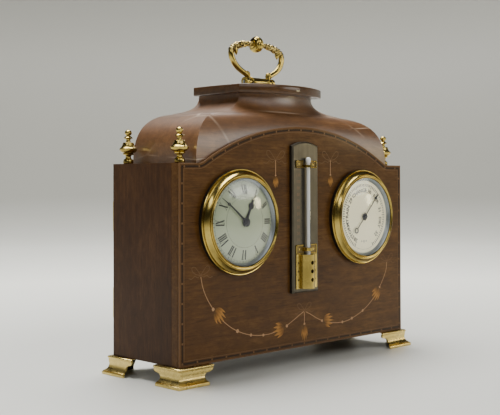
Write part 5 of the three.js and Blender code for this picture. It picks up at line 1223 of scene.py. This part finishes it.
# %% Words on an arc
def lettering(text, height, weight=0.03):
    """A word as points and faces in an upright frame, centred, with its letters height tall."""
    curve = bpy.data.curves.new("word", "FONT")
    curve.body = text
    curve.align_x = "CENTER"
    curve.resolution_u = 2
    curve.extrude = 0.01
    curve.offset = weight
    writer = bpy.data.objects.new("word", curve)
    scene.collection.objects.link(writer)
    mesh = bpy.data.meshes.new_from_object(writer.evaluated_get(bpy.context.evaluated_depsgraph_get()))
    bpy.data.objects.remove(writer)
    scale = height / 0.69
    points = [(v.co.x * scale, v.co.y * scale, v.co.z) for v in mesh.vertices]
    faces = [list(face.vertices) for face in mesh.polygons]
    bpy.data.meshes.remove(mesh)
    return points, faces


def word_on_arc(side, text, height, radius, angle):
    """A word bent round a dial, its middle at an angle clockwise from 12."""
    points, faces = lettering(text, height)
    bent = []
    for u, v, w in points:
        x, z = on_dial(side, radius + v, angle + u / radius)
        bent.append((x, INK_FRONT if w > 0 else INK_BACK, z))
    return bent, faces


SCALE_INNER, SCALE_OUTER = 22.9, 25.6
scale_angles = [math.radians(step * 4.4) for step in range(-35, 36)]
scale_reach = [(1.0 if step % 5 == 0 else 0.75) * (SCALE_OUTER - SCALE_INNER) for step in range(-35, 36)]
scale_spots = [(x, (INK_FRONT + INK_BACK) / 2, z) for x, z in (
    on_dial(1, SCALE_OUTER - reach / 2, angle) for angle, reach in zip(scale_angles, scale_reach))]
scale_sizes = [(0.72, INK_BACK - INK_FRONT, reach) for reach in scale_reach]
scale_mesh = set_out("barometer_marks", scale_spots, scale_angles, scale_sizes, unit_block(), faded_ink)
barometer_print = [mesh_parts(scale_mesh), dial_ring(1, SCALE_OUTER, 0.14)]
weather = (("28", -150), ("STORMY", -118), ("RAIN", -78), ("29", -52), ("CHANGE", -16), ("30", 20),
    ("FAIR", 48),
           ("31", 76), ("DRY", 104), ("32", 132))
for text, degrees in weather:
    barometer_print.append(word_on_arc(1, text, 2.9, 19.2, math.radians(degrees)))
for turn_by in (-1, 0, 1):
    x, z = on_dial(1, 19.4, math.pi + turn_by * 0.14)
    tall = 1.6 if turn_by == 0 else 0.8
    barometer_print.append(slab([(x, z - tall), (x + 0.5, z), (x, z + tall), (x - 0.5, z)], [], INK_FRONT,
        INK_BACK))
make_piece("barometer_scale", *merged(*barometer_print), faded_ink, "case", "silvered_metal")

# %% [markdown]
# ## Hands
# The clock's hands are blackened steel: slender shafts that swell to a moon, which the minute
# hand has pierced by a small eye. Each is drawn pointing to twelve, turned to its place at about
# ten to one, and laid over the dome of the dial. That is why a long straight side has points
# along it. The barometer's pointer is flat, with a square boss and a ring at its tail.

# %% Blackened steel
blackened_steel = varied("blackened_steel", (0.02, 0.021, 0.026), (0.05, 0.05, 0.06), 0.28, 0.15, 500, 3,
                         Metallic=0.2, Specular_IOR_Level=0.15)


# %% Hand outlines
def half_circle(z, radius, low_half, high_half, steps=14):
    """The right side of a round swelling between two narrower necks."""
    low = -math.acos(min(1, low_half / radius))
    high = math.acos(min(1, high_half / radius))
    angles = [low + (high - low) * i / steps for i in range(steps + 1)]
    return [(radius * math.cos(angle), z + radius * math.sin(angle)) for angle in angles]


def mirrored(right):
    """A closed anticlockwise outline from its right side, drawn upwards."""
    return right + [(-x, z) for x, z in reversed(right) if x > 1e-6]


def turn_flat(points, angle, centre):
    """Turns points of a hand clockwise about its centre and moves them to the dial."""
    cosine, sine = math.cos(angle), math.sin(angle)
    return [(centre[0] + x * cosine + z * sine, y, centre[1] + z * cosine - x * sine) for x, y, z in points]


def make_hand(name, outline, holes, front, collet, angle, side, body, stands_for):
    thickness = 0.5
    blade_points, faces = slab(outline, [circle(0, z, r, 20, True) for z, r in holes], front,
        front + thickness, 0.08)
    shapes = [(blade_points, faces), turned([(0, collet[0][1])] + collet, (0, 0, 0), "Y", 48)]
    points, faces = merged(*shapes)
    placed = turn_flat(points, math.radians(angle), (side * INSTRUMENT_X, INSTRUMENT_Z))
    if side < 0:
        placed = domed((placed, faces))[0]
    return make_piece(name, placed, faces, blackened_steel, body, "blackened_steel", stands_for, crease=40)


hour_side = [(0.95, -1.0), (1.05, 2.0), (0.93, 5.9), (0.8, 9.7)] + half_circle(12.24, 2.35, 0.8,
    0.6) + [(0.5, 15.2), (0.8, 15.8), (0.18, 17.8)]
hour_front, minute_front, pointer_front = -5.3, -6.05, -5.8
HOUR_ANGLE, MINUTE_ANGLE, POINTER_ANGLE = 25.75, -51, 44
hour_collet = [(2.9, hour_front - 0.05), (3.2, hour_front), (3.2, hour_front + 0.5), (0, hour_front + 0.5)]
make_hand("hour_hand_dressed", mirrored(hour_side), [], hour_front, hour_collet, HOUR_ANGLE, -1,
    "hour_pipe", ["hour_hand"])
minute_side = [(0.5, -3.0), (0.72, -2.0), (0.7, 2.0), (0.63, 6.2), (0.56, 10.4), (0.49, 14.6),
    (0.42, 18.8)] + half_circle(20.25, 1.15, 0.36, 0.32) + [(0.12, 26.9)]
minute_collet = [(1.1, minute_front - 0.75), (1.9, minute_front - 0.6), (2.3, minute_front - 0.2),
    (3.1, minute_front - 0.1), (3.1, minute_front + 0.5), (0, minute_front + 0.5)]
make_hand("minute_hand_dressed", mirrored(minute_side), [(20.35, 0.42)], minute_front, minute_collet,
    MINUTE_ANGLE, -1, "centre_arbor", ["minute_hand"])
pointer_side = [(0.28, -12.7), (0.32, 17.6), (0.45, 18.4), (1.15, 20.2), (0.5, 21.9), (0.1, 24.3)]
pointer_collet = [(1.0, pointer_front - 0.7), (1.7, pointer_front - 0.6), (2.4, pointer_front - 0.15),
    (2.6, pointer_front), (2.6, pointer_front + 0.5), (0, pointer_front + 0.5)]
make_hand("barometer_pointer_dressed", mirrored(pointer_side), [], pointer_front, pointer_collet,
    POINTER_ANGLE, 1, "barometer_needle", ["barometer_pointer"])
tail_ring = slab(circle(0, -14.8, 2.2, 32), [circle(0, -14.8, 1.45, 32, True)], pointer_front,
    pointer_front + 0.5, 0.08)
square_boss = slab(oblong(-2.3, 2.3, -2.3, 2.3), [], pointer_front - 0.05, pointer_front + 0.45, 0.1)
tail_points, tail_faces = merged(tail_ring, square_boss)
make_piece("barometer_pointer_tail", turn_flat(tail_points, math.radians(POINTER_ANGLE),
    (INSTRUMENT_X, INSTRUMENT_Z)), tail_faces, blackened_steel, "barometer_needle", "blackened_steel")

# %% [markdown]
# ## String inlay
# The front is bordered by a pale string on the very edge, a dark band broken at even steps by
# short pale pieces, and a fine inner line. All of them follow the board's outline, so the
# outline is simply drawn again further in. The short pale pieces are set along the band by a
# Geometry Nodes tree that measures the run and turns each piece to its direction.

# %% Inlay woods
def inlay_wood(name, light, dark, scale=1600):
    """A thin inlaid wood under the same polish as the board."""
    finish = Finish(name, Coat_Weight=0.08, Coat_Roughness=0.1, Specular_IOR_Level=0.12)
    grain = finish.noise(scale, detail=3, roughness=0.6)
    patches = finish.noise(120, detail=2)
    finish.feed("Base Color", finish.blend(grain * 0.5 + patches * 0.5, light, dark))
    finish.feed("Roughness", 0.36 + 0.14 * grain)
    return finish.material


edge_string = inlay_wood("edge_string", linear(112, 80, 48), linear(84, 58, 34))
pale_string = inlay_wood("pale_string", linear(178, 140, 100), linear(148, 112, 78))
dark_band = inlay_wood("dark_band", linear(42, 27, 14), linear(28, 17, 9))
faint_string = inlay_wood("faint_string", linear(110, 80, 48), linear(84, 58, 34))

INLAY_PROUD = 0.03


def border(name, outer_inset, inner_inset, finish, proud, depth=0.6, chamfer=0.0):
    """A closed strip of inlay between two insets of the front's outline."""
    outer = inset_loop(front_outline, outer_inset)
    inner = inset_loop(front_outline, inner_inset)
    strip = slab(outer, [inner[::-1]], -proud, depth, chamfer)
    return make_piece(name, *strip, finish, "case", "front_mahogany", crease=50)


border("edge_string", -0.03, 0.85, edge_string, 0.03, 0.85, 0.1)
border("border_dark_band", 1.72, 2.98, dark_band, 0.02)
border("border_inner_line", 3.65, 4.1, edge_string, INLAY_PROUD)

# %% Pale pieces along the band
along_run = Making("along_a_run", Step="Float", Length="Float", Height="Float", Thickness="Float",
    Finish="Material")
run = along_run.node("GeometryNodeMeshToCurve", inputs={"Mesh": along_run.given("Geometry")})
marks = along_run.node("GeometryNodeResampleCurve", {"mode": "LENGTH"},
    {"Curve": run, "Length": along_run.given("Step")})
direction = along_run.node("GeometryNodeInputTangent")
facing = along_run.node("FunctionNodeAlignRotationToVector", {"axis": "X", "pivot_axis": "Y"},
    {"Vector": direction})
chip_size = along_run.node("ShaderNodeCombineXYZ", inputs={
    "X": along_run.given("Length"), "Y": along_run.given("Thickness"), "Z": along_run.given("Height")})
chip = along_run.node("GeometryNodeMeshCube", inputs={"Size": chip_size})
chips = along_run.node("GeometryNodeInstanceOnPoints", inputs={"Points": marks, "Instance": chip,
    "Rotation": facing})
along_run.end(chips, along_run.given("Finish"))

CHIP_STEP, CHIP_LENGTH = 13.4, 1.3
band_middle = [(x, 0.1, z) for x, z in inset_loop(front_outline, 2.35)]
band_edges = [(i, (i + 1) % len(band_middle)) for i in range(len(band_middle))]
chip_mesh = bake("border_chips", band_middle, band_edges, along_run, {
    "Step": CHIP_STEP * MM, "Length": CHIP_LENGTH * MM, "Height": 1.32 * MM, "Thickness": 0.27 * MM,
    "Finish": edge_string})
set_piece("border_chips", chip_mesh, edge_string, "case")

# %% [markdown]
# ## Swags
# Fine pale lines hang in two swags across the front, with beads strung on them and husks, the
# little five-petalled bells, at their ends. Fainter ribbon bows tie them up. Every line is a
# path drawn through measured points. A tree sweeps a round bar along it and then presses it
# flat against the board.

# %% Inlaid lines
PRESS = 0.14
inlaying = Making("inlaid_line", Width="Float", Front="Float", Finish="Material")
line_path = inlaying.node("GeometryNodeMeshToCurve", inputs={"Mesh": inlaying.given("Geometry")})
line_round = inlaying.node("GeometryNodeCurvePrimitiveCircle",
    inputs={"Resolution": 6, "Radius": inlaying.given("Width") * 0.5})
line_bar = inlaying.node("GeometryNodeCurveToMesh", inputs={"Curve": line_path, "Profile Curve": line_round,
    "Fill Caps": True})
where = inlaying.node("GeometryNodeInputPosition")
board_plane = inlaying.node("ShaderNodeCombineXYZ", inputs={"Y": inlaying.given("Front") * (1 - PRESS)})
pressed = inlaying.node("ShaderNodeVectorMath", {"operation": "MULTIPLY_ADD"},
    {0: where, 1: (1.0, PRESS, 1.0), 2: board_plane})
flat_line = inlaying.node("GeometryNodeSetPosition", inputs={"Geometry": line_bar, "Position": pressed})
inlaying.end(flat_line, inlaying.given("Finish"))


def inlaid_lines(name, paths, width, finish):
    """Smooth lines through the given knots, pressed into the front board."""
    points, edges = [], []
    for knots in paths:
        drawn = through(knots, 8)
        edges += [(len(points) + i, len(points) + i + 1) for i in range(len(drawn) - 1)]
        points += [(x, 0, z) for x, z in drawn]
    mesh = bake(name, points, edges, inlaying, {"Width": width * MM, "Front": CASE_ORIGIN.y,
        "Finish": finish})
    return set_piece(name, mesh, finish, "case")


def from_row(knots):
    """Points measured above the floor, lowered to the case's own underside."""
    return [(x, z - CASE_ORIGIN.z / MM) for x, z in knots]


left_swag = [(-101.3, 72.0), (-99.3, 64.2), (-95.4, 56.4), (-90.1, 49.1)]
left_middle = [(-84.6, 43.4), (-79.5, 39.2), (-73.3, 35.0), (-67.3, 32.0), (-61.0, 29.6), (-54.2, 27.8),
    (-47.8, 26.8), (-41.8, 26.4), (-35.4, 26.5), (-27.0, 27.6)]
left_rise = [(-18.6, 30.0), (-10.6, 33.6), (-3.2, 37.2), (1.2, 39.0)]
right_fall = [(3.2, 38.6), (9.4, 35.8), (15.2, 32.8), (21.3, 30.2)]
right_middle = [(27.8, 28.3), (36.6, 27.0), (45.1, 26.7), (50.8, 27.2), (56.6, 28.5), (63.4, 30.6),
    (70.0, 33.2), (76.2, 36.5), (81.7, 40.3), (86.4, 44.6)]
right_swag = [(91.7, 49.9), (93.0, 51.8), (97.0, 57.4), (100.1, 63.2), (101.2, 69.6)]
drops = [[(1.6, 38.5), (1.6, 34.0), (1.6, 29.7)], [(-28.7, 151.0), (-28.7, 146.0), (-28.7, 139.8)],
    [(31.7, 151.5), (31.7, 146.0), (31.7, 140.3)]]
swag_paths = [from_row(path) for path in (left_swag, left_middle, left_rise, right_fall, right_middle,
    right_swag, *drops)]
inlaid_lines("swag_lines", swag_paths, 0.55, pale_string)


# %% Ribbon bows
def bow(x, z, size):
    """The lines of a tied ribbon: two loops and two loose tails, from the knot outwards."""
    loops = []
    for side in (-1, 1):
        loop = [(0, 0), (2.6, 3.0), (6.2, 6.6), (9.0, 6.2), (8.6, 3.4), (4.8, 0.8), (0, 0)]
        tail = [(0, 0), (3.2, -1.6), (6.4, -0.6), (9.4, -2.4), (12.6, -1.8)]
        for line in (loop, tail):
            loops.append([(x + side * size * u, z + size * v) for u, v in line])
    return loops


bow_spots = [(-101.3, 73.0, 0.85), (1.6, 40.0, 0.8), (101.2, 70.6, 0.85), (-28.7, 151.0, 1.0),
    (31.7, 151.5, 1.0)]
bow_paths = [from_row(line) for x, z, size in bow_spots for line in bow(x, z, size)]
inlaid_lines("ribbon_bows", bow_paths, 0.5, faint_string)

# %% Beads
bead_spots = from_row([(-90.1, 49.1), (-67.3, 32.0), (-54.2, 27.8), (-41.8, 26.4), (-17.4, 30.3),
    (1.6, 29.7), (21.3, 30.2),
                       (45.1, 26.7), (56.6, 28.5), (70.0, 33.2), (91.7, 49.9), (-28.7, 139.8),
                       (31.7, 140.3)])
bead_radii = [1.25, 1.35, 1.1, 1.05, 1.15, 1.0, 1.0, 1.05, 1.1, 1.1, 1.0, 0.75, 0.75]
bead_shape = turned([(0, -0.05), (0.86, -0.05), (1, -0.02), (1, 0.2), (0, 0.2)], (0, 0, 0), "Y", 20)
bead_mesh = set_out("swag_beads", [(x, 0, z) for x, z in bead_spots], [0.0] * len(bead_spots),
    [(r, 1, r) for r in bead_radii], bead_shape, pale_string)
set_piece("swag_beads", bead_mesh, pale_string, "case")

# %% Husks
husk_wood = Finish("shaded_husk", Coat_Weight=0.08, Coat_Roughness=0.1, Specular_IOR_Level=0.12)
burnt = husk_wood.node("ShaderNodeAttribute", {"attribute_name": "shade"}, output="Fac")
husk_grain = husk_wood.noise(1800, detail=3)
husk_wood.feed("Base Color", husk_wood.ramp(burnt * 0.8 + husk_grain * 0.3, (0.15, linear(166, 118, 54)),
    (0.5, linear(136, 92, 38)), (1.0, linear(58, 38, 16))))
husk_wood.feed("Roughness", 0.36 + 0.14 * husk_grain)


def petal(tip_u, tip_v, base_half, belly, lean):
    """One pointed petal from the stem at the origin down to its tip."""
    length = math.hypot(tip_u, tip_v)
    along = Vector((tip_u, tip_v)) / length
    across = Vector((along.y, -along.x))
    shape = []
    for side, share in ((1, 0.0), (1, 0.3), (1, 0.55), (1, 0.8), (0, 1.0), (-1, 0.8), (-1, 0.55), (-1, 0.3),
            (-1, 0.0)):
        half = {0.0: base_half, 0.3: belly, 0.55: belly * 0.95, 0.8: belly * 0.5, 1.0: 0}[share]
        bend = lean * math.sin(math.pi * share)
        spot = along * (length * share) + across * (side * half + bend)
        shape.append((spot.x, spot.y))
    return shape


husk_shapes, husk_shades = [], []
for tip_u, tip_v, base_half, belly, lean, proud in ((-5.4, -9.2, 0.6, 1.3, 1.1, 0.02),
        (5.4, -9.2, 0.6, 1.3, -1.1, 0.02), (-2.9, -12.0, 0.7, 1.35, 0.7, 0.04),
        (2.9, -12.0, 0.7, 1.35, -0.7, 0.04), (0, -13.0, 0.8, 1.2, 0, 0.06)):
    drawn = petal(tip_u, tip_v, base_half, belly, lean)
    husk_shapes.append(slab(drawn, [], -proud, 0.2))
    husk_shades += [min(1, max(0, 1 + v / 6.5) + (0.45 if i < 4 else 0)) for i,
        (u, v) in enumerate(drawn)] * 2
husk_spots = [(-88.8, 48.9, -44, 0.95, 1.0), (-20.0, 29.4, 80, 1.0, 0.95), (1.6, 29.2, 0, 0.62, 0.95),
    (22.6, 29.9, -88, 0.95, 0.92),
              (91.4, 49.4, 45, 0.9, 0.95), (-28.7, 139.4, 0, 0.5, 0.68), (31.7, 139.9, 0, 0.5, 0.68)]
husk_mesh = set_out("swag_husks", [(x, 0, z) for x, z in from_row([spot[:2] for spot in husk_spots])],
    [math.radians(spot[2]) for spot in husk_spots],
                    [(spot[3], 1, spot[4]) for spot in husk_spots], merged(*husk_shapes),
                    husk_wood.material, husk_shades)
set_piece("swag_husks", husk_mesh, husk_wood.material, "case", crease=50)

# %% [markdown]
# ## The thermometer
# A brushed plate with an arched top carries a white glass tube and its thread of quicksilver. The
# plate's dark tone is partly its own and partly a painted dark reflection. The marks beside the
# tube are black, and the figures left of them are rubbed and pale. Brass clips with dished
# hollows hold the tube, with dark pads of painted shade in the hollows, and a half-round guard with
# round holes protects the bulb. The plate is lofted from its outline, with a bevel all round its
# front, and its edge is painted near-black, as painted shade like the walls of the bezels.

# %% Thermometer plate
THERMO_HALF, THERMO_LOW, THERMO_HIGH, THERMO_ARCH = 14.1, 40.5, 148.5, 3.1
PLATE_FACE = -3.3
# The plate's dark colours are partly its own dull tone and partly a painted dark reflection.
brushed_plate = silvering("brushed_plate", (0.17, 0.15, 0.11), (0.03, 0.026, 0.018), 0.26, 0.85,
    (1, 1, 0.02), 500)


def plate_outline(inset, y):
    """The plate's edge, set in by an amount, at a distance from the board."""
    width = THERMO_HALF - inset
    curve = (THERMO_HALF ** 2 + THERMO_ARCH ** 2) / (2 * THERMO_ARCH)
    points = [(-width, y, THERMO_LOW + inset), (width, y, THERMO_LOW + inset)]
    for step in range(33):
        x = width * (1 - step / 16)
        points.append((x, y, THERMO_HIGH + THERMO_ARCH - inset - curve + math.sqrt(curve ** 2 - x ** 2)))
    return points


plate_rings = [plate_outline(0, 0), plate_outline(0, -2.2), plate_outline(0.15, -2.5),
    plate_outline(0.9, -3.2), plate_outline(1.1, PLATE_FACE)]
flat_rings = [[(x, z, y) for x, y, z in ring] for ring in plate_rings]
plate_points, plate_faces = loft(flat_rings)
# The plate's edge is painted near-black: painted shade like the bezels' walls.
edge_points, edge_faces = loft([[(x, z, y) for x, y, z in plate_outline(-0.03, y)] for y in (0, -2.1)])
make_piece("thermometer_plate_edge", [(x, y, z) for x, z, y in edge_points], edge_faces, blackened_edge,
    "case", "silvered_metal")
make_piece("thermometer_plate_dressed", [(x, y, z) for x, z, y in plate_points], plate_faces, brushed_plate,
    "case", "silvered_metal", ["thermometer_plate"], crease=20)

# %% Tube, bulb and spirit
TUBE_Y = -5.8
opal_glass = varied("opal_glass", (0.72, 0.72, 0.70), (0.62, 0.63, 0.62), 0.2, 0.1, 220,
    stretch=(1, 1, 0.1),
                    Coat_Weight=1.0, Coat_Roughness=0.05)
tube_profile = [(0, 55.5), (1.1, 55.6), (1.3, 56.2), (1.34, 57.5), (1.34, 134.8), (1.25, 135.3),
    (1.35, 135.8), (1.8, 136.6), (2.0, 137.6), (1.95, 138.6), (1.5, 139.6), (0.8, 140.1), (0, 140.2)]
make_piece("thermometer_tube_dressed", *turned(tube_profile, (0, TUBE_Y, 0), "Z", 48), opal_glass, "case",
    "clear_glass", ["thermometer_tube"], crease=40)
bulb_profile = [(0, 47.5), (1.2, 47.7), (2.0, 48.4), (2.35, 49.6), (2.4, 52.0), (2.3, 53.6), (1.9, 54.8),
    (1.7, 55.6), (0, 55.6)]
quicksilver = silvering("quicksilver", (0.70, 0.72, 0.74), (0.5, 0.52, 0.55), 0.06, 1.0)
make_piece("thermometer_bulb", *turned(bulb_profile, (0, TUBE_Y, 0), "Z", 48), quicksilver, "case",
    "clear_glass")
column = turned([(0, 56), (0.3, 56), (0.3, 101), (0.2, 101.4), (0, 101.5)], (0.35, TUBE_Y - 1.36, 0), "Z",
    16)
make_piece("thermometer_column", *column, quicksilver, "case", "clear_glass")

# %% Thermometer scale
degree_zs = [74.5 + 0.95 * degree for degree in range(0, 61)]
degree_reach = [2.6 if degree % 5 == 0 else 1.7 for degree in range(0, 61)]
degree_spots = [(side * (2.4 + reach / 2), PLATE_FACE, z) for side in (-1, 1) for z,
    reach in zip(degree_zs, degree_reach)]
degree_sizes = [(reach, 0.05, 0.42) for _ in (-1, 1) for reach in degree_reach]
degree_mesh = set_out("degree_marks", degree_spots, [0.0] * len(degree_spots), degree_sizes, unit_block(),
    black_ink)
make_piece("thermometer_marks", *mesh_parts(degree_mesh), black_ink, "case", "silvered_metal")
figures = []
rubbed_ink = inlay_wood("rubbed_ink", linear(118, 98, 80), linear(90, 74, 58))
for index, number in enumerate(range(0, 130, 10)):
    points, faces = lettering(str(number), 2.2)
    z = degree_zs[0] + 0.95 * 5 * index - 0.9
    figures.append(([(u - 8.2, PLATE_FACE - (0.025 if w > 0 else -0.02), z + v) for u, v, w in points],
        faces))
make_piece("thermometer_figures", *merged(*figures), rubbed_ink, "case", "silvered_metal")


# %% Cutting away
def cut_away(shape, *cutters):
    """Cuts closed forms out of another with Blender's exact boolean, in the case's millimetres."""
    def solid(name, form):
        mesh = bpy.data.meshes.new(name)
        mesh.from_pydata([Vector(point) for point in form[0]], [], form[1])
        shell = bmesh.new()
        shell.from_mesh(mesh)
        bmesh.ops.remove_doubles(shell, verts=shell.verts, dist=1e-5)
        bmesh.ops.recalc_face_normals(shell, faces=shell.faces)
        shell.to_mesh(mesh)
        shell.free()
        made = bpy.data.objects.new(name, mesh)
        scene.collection.objects.link(made)
        return made

    whole = solid("whole", shape)
    tools = [solid("cutter", cutter) for cutter in cutters]
    for tool in tools:
        boolean = whole.modifiers.new("cut", "BOOLEAN")
        boolean.operation = "DIFFERENCE"
        boolean.solver = "EXACT"
        boolean.object = tool
    mesh = bpy.data.meshes.new_from_object(whole.evaluated_get(bpy.context.evaluated_depsgraph_get()))
    for made in (whole, *tools):
        bpy.data.objects.remove(made)
    return [tuple(v.co) for v in mesh.vertices], [list(face.vertices) for face in mesh.polygons]


# %% Clips
CLIP_HALF = 11.3
# Dark brass for pads in the clip hollows: painted shade.
dull_brass = brass("dull_brass", (0.16, 0.115, 0.045), (0.05, 0.036, 0.016), 0.4)


def strap_outline(inner, centre_y, thickness, reach, steps):
    """A strap seen from above: flat on the plate, humped over the tube."""
    outer = inner + thickness
    flat = PLATE_FACE - thickness

    def arch(radius, level):
        """The hump at one radius, between the two places where it meets a level."""
        start = math.asin(max(-1, min(1, (centre_y - level) / radius)))
        angles = [start + (math.pi - 2 * start) * i / steps for i in range(steps + 1)]
        return [(radius * math.cos(angle), centre_y - radius * math.sin(angle)) for angle in angles]

    hump, hollow = arch(outer, flat), arch(inner, PLATE_FACE)
    return [(reach, PLATE_FACE), (reach, flat)] + hump + [(-reach, flat),
        (-reach, PLATE_FACE)] + hollow[::-1]


def clip(name, low, high, hump_low, hump_high, node):
    """Two dished wings joined by a narrow strap over the tube."""
    strap = strap_outline(2.45, TUBE_Y, 0.7, 4.4, 28)
    shapes, painted_shade_pads = [slab(strap, [], hump_low, hump_high, 0.12, "Z")], []
    for side in (-1, 1):
        inner, outer = sorted((side * 3.3, side * CLIP_HALF))
        wing = slab(oblong(inner, outer, low, high), [], PLATE_FACE - 0.45, PLATE_FACE, 0.1)
        shapes.append(wing)
        # Dark pads in the dished hollows, painted shade between the rims.
        painted_shade_pads.append(slab(oblong(inner + 0.5, outer - 0.5, low + 0.5, high - 0.5), [], PLATE_FACE - 0.5,
            PLATE_FACE - 0.3))
        rims = [(inner, outer, high - 0.7, high), (inner, outer, low, low + 0.7),
                ((outer - 0.7, outer, low, high) if side > 0 else (inner, inner + 0.7, low, high))]
        for rim in rims:
            shapes.append(slab(oblong(*rim), [], PLATE_FACE - 0.95, PLATE_FACE - 0.2, 0.22))
        screw = turned([(0, PLATE_FACE - 0.85), (0.7, PLATE_FACE - 0.8), (1.0, PLATE_FACE - 0.6),
            (1.0, PLATE_FACE - 0.3), (0, PLATE_FACE - 0.3)], (side * 7.6, 0, (low + high) / 2), "Y", 24)
        shapes.append(screw)
    make_piece(name + "_hollows", *merged(*painted_shade_pads), dull_brass, "case", "polished_brass")
    return make_piece(name, *merged(*shapes), polished_brass, "case", "polished_brass", [node], crease=30)


clip("thermometer_upper_clip_dressed", 132.3, 137.7, 132.6, 134.5, "thermometer_upper_clip")
clip("thermometer_lower_clip_dressed", 68.8, 75.8, 71.0, 73.6, "thermometer_lower_clip")

# %% Bulb guard
GUARD_LOW, GUARD_HIGH, GUARD_RADIUS = 43.5, 68.5, 6.5
guard_strap = strap_outline(GUARD_RADIUS - 0.7, PLATE_FACE, 0.7, CLIP_HALF, 40)
guard_body = slab(guard_strap, [], GUARD_LOW, GUARD_HIGH, 0, "Z")
guard_cutters = []
for share in (0.26, 0.51, 0.76):
    z = GUARD_LOW + share * (GUARD_HIGH - GUARD_LOW)
    guard_cutters.append(slab(circle(0, z, 1.5, 24), [], PLATE_FACE - 9, PLATE_FACE - 2))
    for side in (-1, 1):
        guard_cutters.append(slab(circle(side * 8.9, z, 0.8, 24), [], PLATE_FACE - 2, PLATE_FACE + 0.5))
guard = cut_away(guard_body, *guard_cutters)
make_piece("thermometer_bulb_guard_dressed", *guard, polished_brass, "case", "polished_brass",
    ["thermometer_bulb_guard"], crease=30, bevel=0.12)

# %% [markdown]
# ## The back door
# At the back a plain door closes the case. It hangs on two small butt hinges on the left, seen
# from the front, and has a turned knob. The screws of the hinges are one pattern set out again.

# %% Door
DOOR_HALF = inner_half - 0.6
DOOR_LOW, DOOR_HIGH = BOARD_THICKNESS + 0.6, deck_underside - 0.6
door_wood = mahogany("door_mahogany", 2, ((0.030, 0.0105, 0.003), (0.052, 0.020, 0.006),
    (0.085, 0.036, 0.012)), (2.9, 1.4, 0.6))
make_piece("back_door_dressed", *board(-DOOR_HALF, DOOR_HALF, CASE_DEPTH - 6, CASE_DEPTH, DOOR_LOW,
    DOOR_HIGH), door_wood, "door", "front_mahogany", ["back_door"], bevel=0.4)
knob_profile = [(0, 72), (3.36, 72), (3.36, 72.6), (3.1, 73.1), (2.3, 73.8), (1.9, 74.7), (1.9, 76.0),
    (2.4, 76.7), (3.5, 77.3), (4.1, 78.1), (4.2, 79.0), (3.9, 79.9), (3.1, 80.6), (1.8, 80.95), (0, 81.0)]
KNOB_X, KNOB_Z = DOOR_HALF - 9, (DOOR_LOW + DOOR_HIGH) / 2
make_piece("door_knob_dressed", *turned(knob_profile, (KNOB_X, 0, KNOB_Z), "Y", 64), polished_brass, "door",
    "polished_brass", ["door_knob"], crease=45)

# %% Hinges
HINGE_X, HINGE_Y, HINGE_LENGTH = -inner_half, CASE_DEPTH + 2.1, 21


def hinge_leaf(low, moving):
    """One leaf of a butt hinge with its knuckles."""
    way = 1 if moving else -1
    near = HINGE_X + way * 2.4
    far = near + way * 4.2
    x0, x1 = sorted((near, far))
    shapes = [slab(oblong(x0, x1, low, low + HINGE_LENGTH), [], CASE_DEPTH, CASE_DEPTH + 0.9, 0.15)]
    for index in ((1,) if moving else (0, 2)):
        z0 = low + index * HINGE_LENGTH / 3 + (0.3 if index else 0)
        z1 = low + (index + 1) * HINGE_LENGTH / 3 - (0.3 if index < 2 else 0)
        shapes.append(turned([(0, z0), (1.6, z0), (1.8, z0 + 0.2), (1.8, z1 - 0.2), (1.6, z1), (0, z1)],
            (HINGE_X, HINGE_Y, 0), "Z", 32))
        a, b = sorted((HINGE_X, near + way * 0.2))
        shapes.append(slab(oblong(a, b, z0 + 0.05, z1 - 0.05), [], CASE_DEPTH + 0.35, CASE_DEPTH + 0.85))
    return merged(*shapes), (x0 + x1) / 2


def screw_head():
    """A slotted screw head, one millimetre in radius, facing the back."""
    head = turned([(0, -0.3), (1, -0.3), (1, 0.02), (0.8, 0.16), (0, 0.2)], (0, 0, 0), "Y", 20)
    return cut_away(head, slab(oblong(-1.2, 1.2, -0.16, 0.16), [], 0.06, 0.5))


slotted_head = screw_head()
for place, low in (("lower", DOOR_LOW + 18), ("upper", DOOR_HIGH - 18 - HINGE_LENGTH)):
    for moving, part, body in ((False, "fixed_leaf", "case"), (True, "door_leaf", "door")):
        leaf, middle_x = hinge_leaf(low, moving)
        spots = [(middle_x, CASE_DEPTH + 0.85, low + 4.2),
            (middle_x, CASE_DEPTH + 0.85, low + HINGE_LENGTH - 4.2)]
        screws = set_out("hinge_screws", spots, [0.4, -0.7], [(1.2, 1, 1.2)] * 2, slotted_head, satin_brass)
        name = place + "_hinge_" + part
        make_piece(name + "_dressed", *merged(leaf, mesh_parts(screws)), satin_brass, body, "satin_brass",
            [name])

# %% [markdown]
# ## Inside the case
# Behind the door are the two drums with the winding key, the setting knob and the barometer's
# screw. The wheels between the plates already have their true teeth, so they keep their shape
# and only get a finish: brass with a fine grain, and grey steel.

# %% Movement finishes
movement_brass = brass("movement_brass", (0.78, 0.60, 0.29), (0.55, 0.41, 0.19), 0.24, 0.15, (1, 0.1, 1))
grey_steel = silvering("grey_steel", (0.55, 0.57, 0.60), (0.36, 0.38, 0.41), 0.22, 1.0)
capsule_metal = silvering("capsule_metal", (0.60, 0.60, 0.57), (0.44, 0.44, 0.41), 0.3, 0.95)
inside = {
    movement_brass: ("movement_front_plate", "movement_back_plate", "mainspring_barrel", "centre_wheel",
    "third_wheel",
                     "fourth_wheel", "minute_wheel", "hour_wheel", "balance_wheel", "barometer_frame",
                     "toothed_sector"),
    grey_steel: ("cannon_pinion", "escape_wheel", "pallet_lever", "pointer_arbor", "barometer_leaf_spring",
                 "handle_pivot_rod", "adjusting_screw", "winding_key"),
    capsule_metal: ("aneroid_capsule",),
    satin_brass: ("clock_drum", "barometer_pan"),
    polished_brass: ("hand_setting_knob",),
}
for finish, nodes in inside.items():
    for node in nodes:
        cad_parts[node].data.materials.clear()
        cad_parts[node].data.materials.append(finish)
